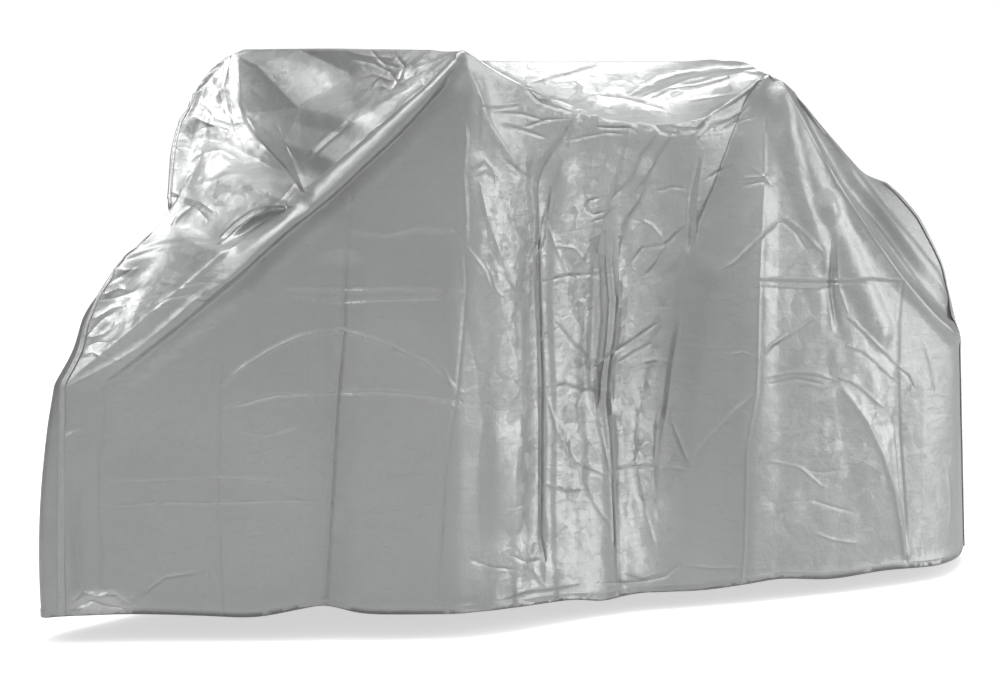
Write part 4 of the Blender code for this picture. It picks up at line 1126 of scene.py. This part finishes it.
# The finish: its two greys, then its patterns, in repeats to the metre and heights in metres.
FILM_COLOUR = (0.54, 0.545, 0.545)
FILM_SHADE = (0.33, 0.334, 0.335)
ROUGHNESS = 0.45
METALLIC = 0.80
MOTTLE_SCALE = 5.0
WARP_SCALE = 14.0
WARP_BY = 0.05
LARGE_CELLS = 34.0
SMALL_CELLS = 85.0
WRINKLE_SCALE = 11.0
WRINKLE_TALL = 0.0021
PUCKER_SCALE = 60.0
PUCKER_TALL = 0.0007
GRAIN_SCALE = 900.0
GRAIN_TALL = 0.00005


def film_finish(name, colour, shade, crinkled):
    """Silver film: a mottled grey with a broken sheen, crinkled where it is crumpled, and a faint grain.

    The grey runs between its shade and its colour by slow noise and by the crumple attribute. The
    lighter grey where the film is crumpled is partly the film's own whitening at its creases and partly
    painted light: it brightens the crumpled middle as the light from the right would. The bump adds flat
    cells of two sizes, bent by noise and weighed by the crumple attribute, then long wrinkles, puckers
    and grain, and then the fine creases: in each layer, the height times (1 - the share of the reach) to
    a power.
    """
    material = bpy.data.materials.new(name)
    material.use_nodes = True
    tree = material.node_tree
    shader = tree.nodes["Principled BSDF"]
    start = Wire(tree)
    place = start.make("ShaderNodeTexCoord", {}, {}, "Object")
    crumple = start.make("ShaderNodeAttribute", {"attribute_name": "crumple"}, {}, "Fac")
    noise, vector = "ShaderNodeTexNoise", "ShaderNodeVectorMath"
    slow = start.make(noise, {}, {"Vector": place, "Scale": MOTTLE_SCALE, "Detail": 4.0})
    warp = start.make(noise, {}, {"Vector": place, "Scale": WARP_SCALE, "Detail": 3.0}, "Color")
    bent = start.make(vector, {"operation": "MULTIPLY_ADD"}, {0: warp, 1: (WARP_BY,) * 3, 2: place})
    creased = start.flat_cells(bent, LARGE_CELLS) * 0.30 + start.flat_cells(bent, SMALL_CELLS) * 0.18
    weight = start.make("ShaderNodeMath", {"operation": "ADD", "use_clamp": True},
                        {0: crumple * 0.9, 1: 0.12})
    laid = start.make(vector, {"operation": "MULTIPLY"}, {0: place, 1: (1.0, 1.0, 4.0)})
    wrinkle = start.make(noise, {}, {"Vector": laid, "Scale": WRINKLE_SCALE, "Detail": 3.0,
                                     "Distortion": 0.8})
    pucker = start.make(noise, {}, {"Vector": place, "Scale": PUCKER_SCALE, "Detail": 5.0,
                                    "Roughness": 0.6})
    grain = start.make(noise, {}, {"Vector": place, "Scale": GRAIN_SCALE, "Detail": 2.0})
    height = creased * weight * crinkled + wrinkle * (weight * 0.5 + 0.35) * WRINKLE_TALL
    height = height + pucker * PUCKER_TALL + grain * GRAIN_TALL
    for first in range(0, CREASE_LAYERS, 3):
        shares, lifts = (
            start.make("ShaderNodeAttribute", {"attribute_name": f"{value}_{first}"}, {}, "Vector")
            for value in ("crease_share", "crease_lift")
        )
        for axis in "XYZ":
            share = start.make("ShaderNodeSeparateXYZ", {}, {"Vector": shares}, axis)
            lift = start.make("ShaderNodeSeparateXYZ", {}, {"Vector": lifts}, axis)
            form = start.maths("MAXIMUM", 1 - start.maths("ABSOLUTE", share))
            height = height + start.maths("POWER", form, CREASE_POWER) * lift
    relief = {"Strength": 1.0, "Distance": 1.0, "Height": height}
    bump = start.make("ShaderNodeBump", {}, relief, "Normal")
    # The grey's mix: slow noise gives the film's own mottle, and the crumple attribute lightens crumpled
    # film, partly as its real whitening at creases and partly as painted light from the right.
    mottle_and_painted_light = slow * 0.35 + crumple * 0.45
    tone = start.make("ShaderNodeMix", {"data_type": "RGBA"},
                      {"Factor": mottle_and_painted_light, "A": (*shade, 1), "B": (*colour, 1)}, "Result")
    rough = slow * 0.10 + pucker * 0.08 + ROUGHNESS - 0.09
    tree.links.new(tone.socket, shader.inputs["Base Color"])
    tree.links.new(rough.socket, shader.inputs["Roughness"])
    tree.links.new(bump.socket, shader.inputs["Normal"])
    shader.inputs["Metallic"].default_value = METALLIC
    shader.inputs["Coat Weight"].default_value = 0.12
    shader.inputs["Coat Roughness"].default_value = 0.3
    return material


film_material = film_finish("silver_film", FILM_COLOUR, FILM_SHADE, crinkled=0.7)
film_mesh.materials.clear()
film_mesh.materials.append(film_material)
film_mesh.shade_smooth()
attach(film, "root")
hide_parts("cover")


# ---------------------------------------------------------------- the binding tapes
# A strip of doubled film folded over each end seam and welded along both of its edges, so that two
# lines run down it with a lighter strip between. The welds pucker a little along their length.
TAPE_WING = 0.0062
TAPE_THICK = 0.0012
TAPE_CLEAR = 0.0007
TAPE_STEP = 0.004
TAPE_ACROSS = 25
SEAM_BLEND = 0.2
# The two welds of a wing, each by its share of the wing, how wide it is there and how proud.
WELDS = ((0.22, 0.10, 0.0006), (0.84, 0.12, 0.0006))
PUCKER_PITCH = 0.011
PUCKER_DEEP = 0.00045
# How many sections away the film's own points show which way each wing leans.
BESIDE = 4


def unit(vectors):
    """Each vector at length one."""
    return vectors / np.linalg.norm(vectors, axis=-1, keepdims=True)


def passed_along(line):
    """How far along a line each of its points lies."""
    return np.concatenate([[0], np.cumsum(np.linalg.norm(np.diff(line, axis=0), axis=1))])


def resampled(line, count):
    """The same line read at a number of even steps."""
    passed = passed_along(line)
    at = np.linspace(0, passed[-1], count)
    return np.stack([np.interp(at, passed, line[:, k]) for k in range(3)], axis=1)


def evened(line, step):
    """Points a step apart along a line, with its bends rounded a little."""
    even = resampled(line, int(passed_along(line)[-1] / step))
    for _ in range(2):
        even[1:-1] += (even[:-2] + even[2:] - 2 * even[1:-1]) / 4
    return even


def binding_tape(name, seam, near_side, far_side, turn, seed):
    """A bent strip with a wing on each side of the seam.

    Across a wing, a point lies its share of the wing away from the seam, and stands off by the tape's
    own thickness plus a bell for each weld and a slow wave along the seam. At the seam the two wings'
    normals run together.
    """
    line = evened(seam, TAPE_STEP)
    near_way = unit(resampled(near_side, len(line)) - line)
    far_way = unit(resampled(far_side, len(line)) - line)
    run = np.gradient(line, axis=0)
    near_normal = unit(turn * np.cross(near_way, run))
    far_normal = unit(turn * np.cross(run, far_way))
    outward = unit(near_normal + far_normal)
    draw = np.random.default_rng(seed)
    phase = np.cumsum(draw.uniform(0.6, 1.4, len(line))) * 2 * math.pi * TAPE_STEP / PUCKER_PITCH
    pucker = np.sin(phase) * PUCKER_DEEP * draw.uniform(0.4, 1.0, len(line))
    out, back = [], []
    for share in np.linspace(-1, 1, TAPE_ACROSS):
        way = near_way if share < 0 else far_way
        wing_normal = near_normal if share < 0 else far_normal
        away = abs(share)
        blend = np.clip(1 - away / SEAM_BLEND, 0, 1)
        normal = unit(wing_normal * (1 - blend) + outward * blend)
        proud = sum(tall * np.exp(-(((away - middle) / wide) ** 2)) for middle, wide, tall in WELDS)
        wave = pucker * (1 - abs(2 * away - 1)) * 1.2
        foot = line + way * away * TAPE_WING
        stand = TAPE_CLEAR + TAPE_THICK + proud * min(1, (1 - away) * 8) + wave
        out.append(foot + normal * stand[:, None])
        back.append(foot + normal * TAPE_CLEAR)
    ring = np.stack([*out, *back[::-1]], axis=1)
    count, corners = ring.shape[:2]
    number = np.arange(count * corners).reshape(count, corners)
    beside = np.roll(number, -1, axis=1)
    sides = np.stack([number[:-1], beside[:-1], beside[1:], number[1:]], axis=-1).reshape(-1, 4)
    if turn > 0:
        sides = sides[:, ::-1]
    half = corners // 2
    ends = []
    for k in range(half - 1):
        cap = [k, k + 1, corners - 2 - k, corners - 1 - k]
        ends.append(number[0, cap][::turn].tolist())
        ends.append(number[-1, cap][::-turn].tolist())
    piece = mesh_piece(name, ring.reshape(-1, 3).tolist(), sides.tolist() + ends)
    values = piece.data.attributes.new("crumple", "FLOAT", "POINT")
    values.data.foreach_set("value", np.full(count * corners, 0.5, np.float32))
    return piece


TAPE_COLOUR = (0.47, 0.475, 0.475)
TAPE_SHADE = (0.40, 0.405, 0.405)
tape_material = film_finish("seam_tape", TAPE_COLOUR, TAPE_SHADE, crinkled=0.5)
first_row = len(HEM_TURNED)
near_rows = slice(first_row, middle_row - 1)
far_rows = slice(rows - 1 - first_row, middle_row + 1, -1)
for name, node, seam, inner, turn, seed in (
    ("front_binding_tape", "front_seam_binding", 0, BESIDE, 1, 5),
    ("rear_binding_tape", "rear_seam_binding", -1, -1 - BESIDE, -1, 6),
):
    tape = binding_tape(name, film_points[seam, near_rows], film_points[inner, near_rows],
                        film_points[inner, far_rows], turn, seed)
    tape.data.materials.append(tape_material)
    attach(tape, "root")
    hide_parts(node)


# ---------------------------------------------------------------- the floor and the light
# A plain pale floor at the level that the tyres stand on, which the camera sees as white. A long soft
# light hangs above, a small one stands on the left, and a very large one stands far off on the right.
FLOOR_AT = -float(MEASURED_FROM[2])
FLOOR_HALF = 150
FLOOR_GREY = (0.66, 0.66, 0.66, 1)
FLOOR_GLOW = 0.62
floor_mesh = bpy.data.meshes.new("floor")
floor_mesh.from_pydata(
    [(x * FLOOR_HALF, y * FLOOR_HALF, FLOOR_AT) for x, y in ((-1, -1), (1, -1), (1, 1), (-1, 1))],
    [], [(0, 1, 2, 3)],
)
floor = bpy.data.objects.new("floor", floor_mesh)
bpy.context.collection.objects.link(floor)
floor_material = bpy.data.materials.new("pale_floor")
floor_material.use_nodes = True
floor_shader = floor_material.node_tree.nodes["Principled BSDF"]
floor_shader.inputs["Base Color"].default_value = FLOOR_GREY
floor_shader.inputs["Roughness"].default_value = 0.9
floor_shader.inputs["Emission Strength"].default_value = FLOOR_GLOW
seen_floor = Wire(floor_material.node_tree).make("ShaderNodeLightPath", {}, {}, "Is Camera Ray")
floor_material.node_tree.links.new(seen_floor.socket, floor_shader.inputs["Emission Color"])
floor_mesh.materials.append(floor_material)


def soft_light(name, place, aim, wide, high, power):
    """A rectangular light that faces its aim."""
    data = bpy.data.lights.new(name, "AREA")
    data.shape = "RECTANGLE"
    data.size = wide
    data.size_y = high
    data.energy = power
    light = bpy.data.objects.new(name, data)
    light.location = place
    light.visible_camera = False
    toward = unit(np.array(aim) - np.array(place))
    light.rotation_euler = (math.acos(-toward[2]), 0, math.atan2(toward[1], toward[0]) - math.pi / 2)
    bpy.context.collection.objects.link(light)


soft_light("light_above", (-0.1, 0.2, 3.6), (-0.1, 0.1, 0.5), wide=4.8, high=1.6, power=104)
soft_light("light_left", (-3.6, -0.6, 3.2), (-0.3, 0.0, 0.6), wide=2.0, high=2.0, power=32)
soft_light("light_right", (11.4, -3.2, 2.6), (0.1, 0.0, 0.5), wide=9.8, high=5.6, power=430)

# The room's light grows upwards and towards its front. The camera itself sees plain white behind.
WORLD_LOW = 0.16
WORLD_MIDDLE = 0.54
WORLD_HIGH = 0.85
world = bpy.data.worlds.new("studio")
bpy.context.scene.world = world
world.use_nodes = True
sky = Wire(world.node_tree)
way = sky.make("ShaderNodeTexCoord", {}, {}, "Generated")
tall = sky.make("ShaderNodeVectorMath", {"operation": "DOT_PRODUCT"}, {0: way, 1: (0.0, -0.5, 0.87)},
                "Value")
greys = ((0.35, WORLD_LOW), (0.68, WORLD_MIDDLE), (1.0, WORLD_HIGH))
soft = sky.make("ShaderNodeValToRGB", {"stops": greys}, {"Fac": tall + 0.3}, "Color")
direct = sky.make("ShaderNodeLightPath", {}, {}, "Is Camera Ray")
shown = sky.make("ShaderNodeMix", {"data_type": "RGBA"},
                 {"Factor": direct, "A": soft, "B": (1, 1, 1, 1)}, "Result")
backdrop = world.node_tree.nodes["Background"]
world.node_tree.links.new(shown.socket, backdrop.inputs["Color"])

bpy.context.scene.view_settings.view_transform = "Standard"
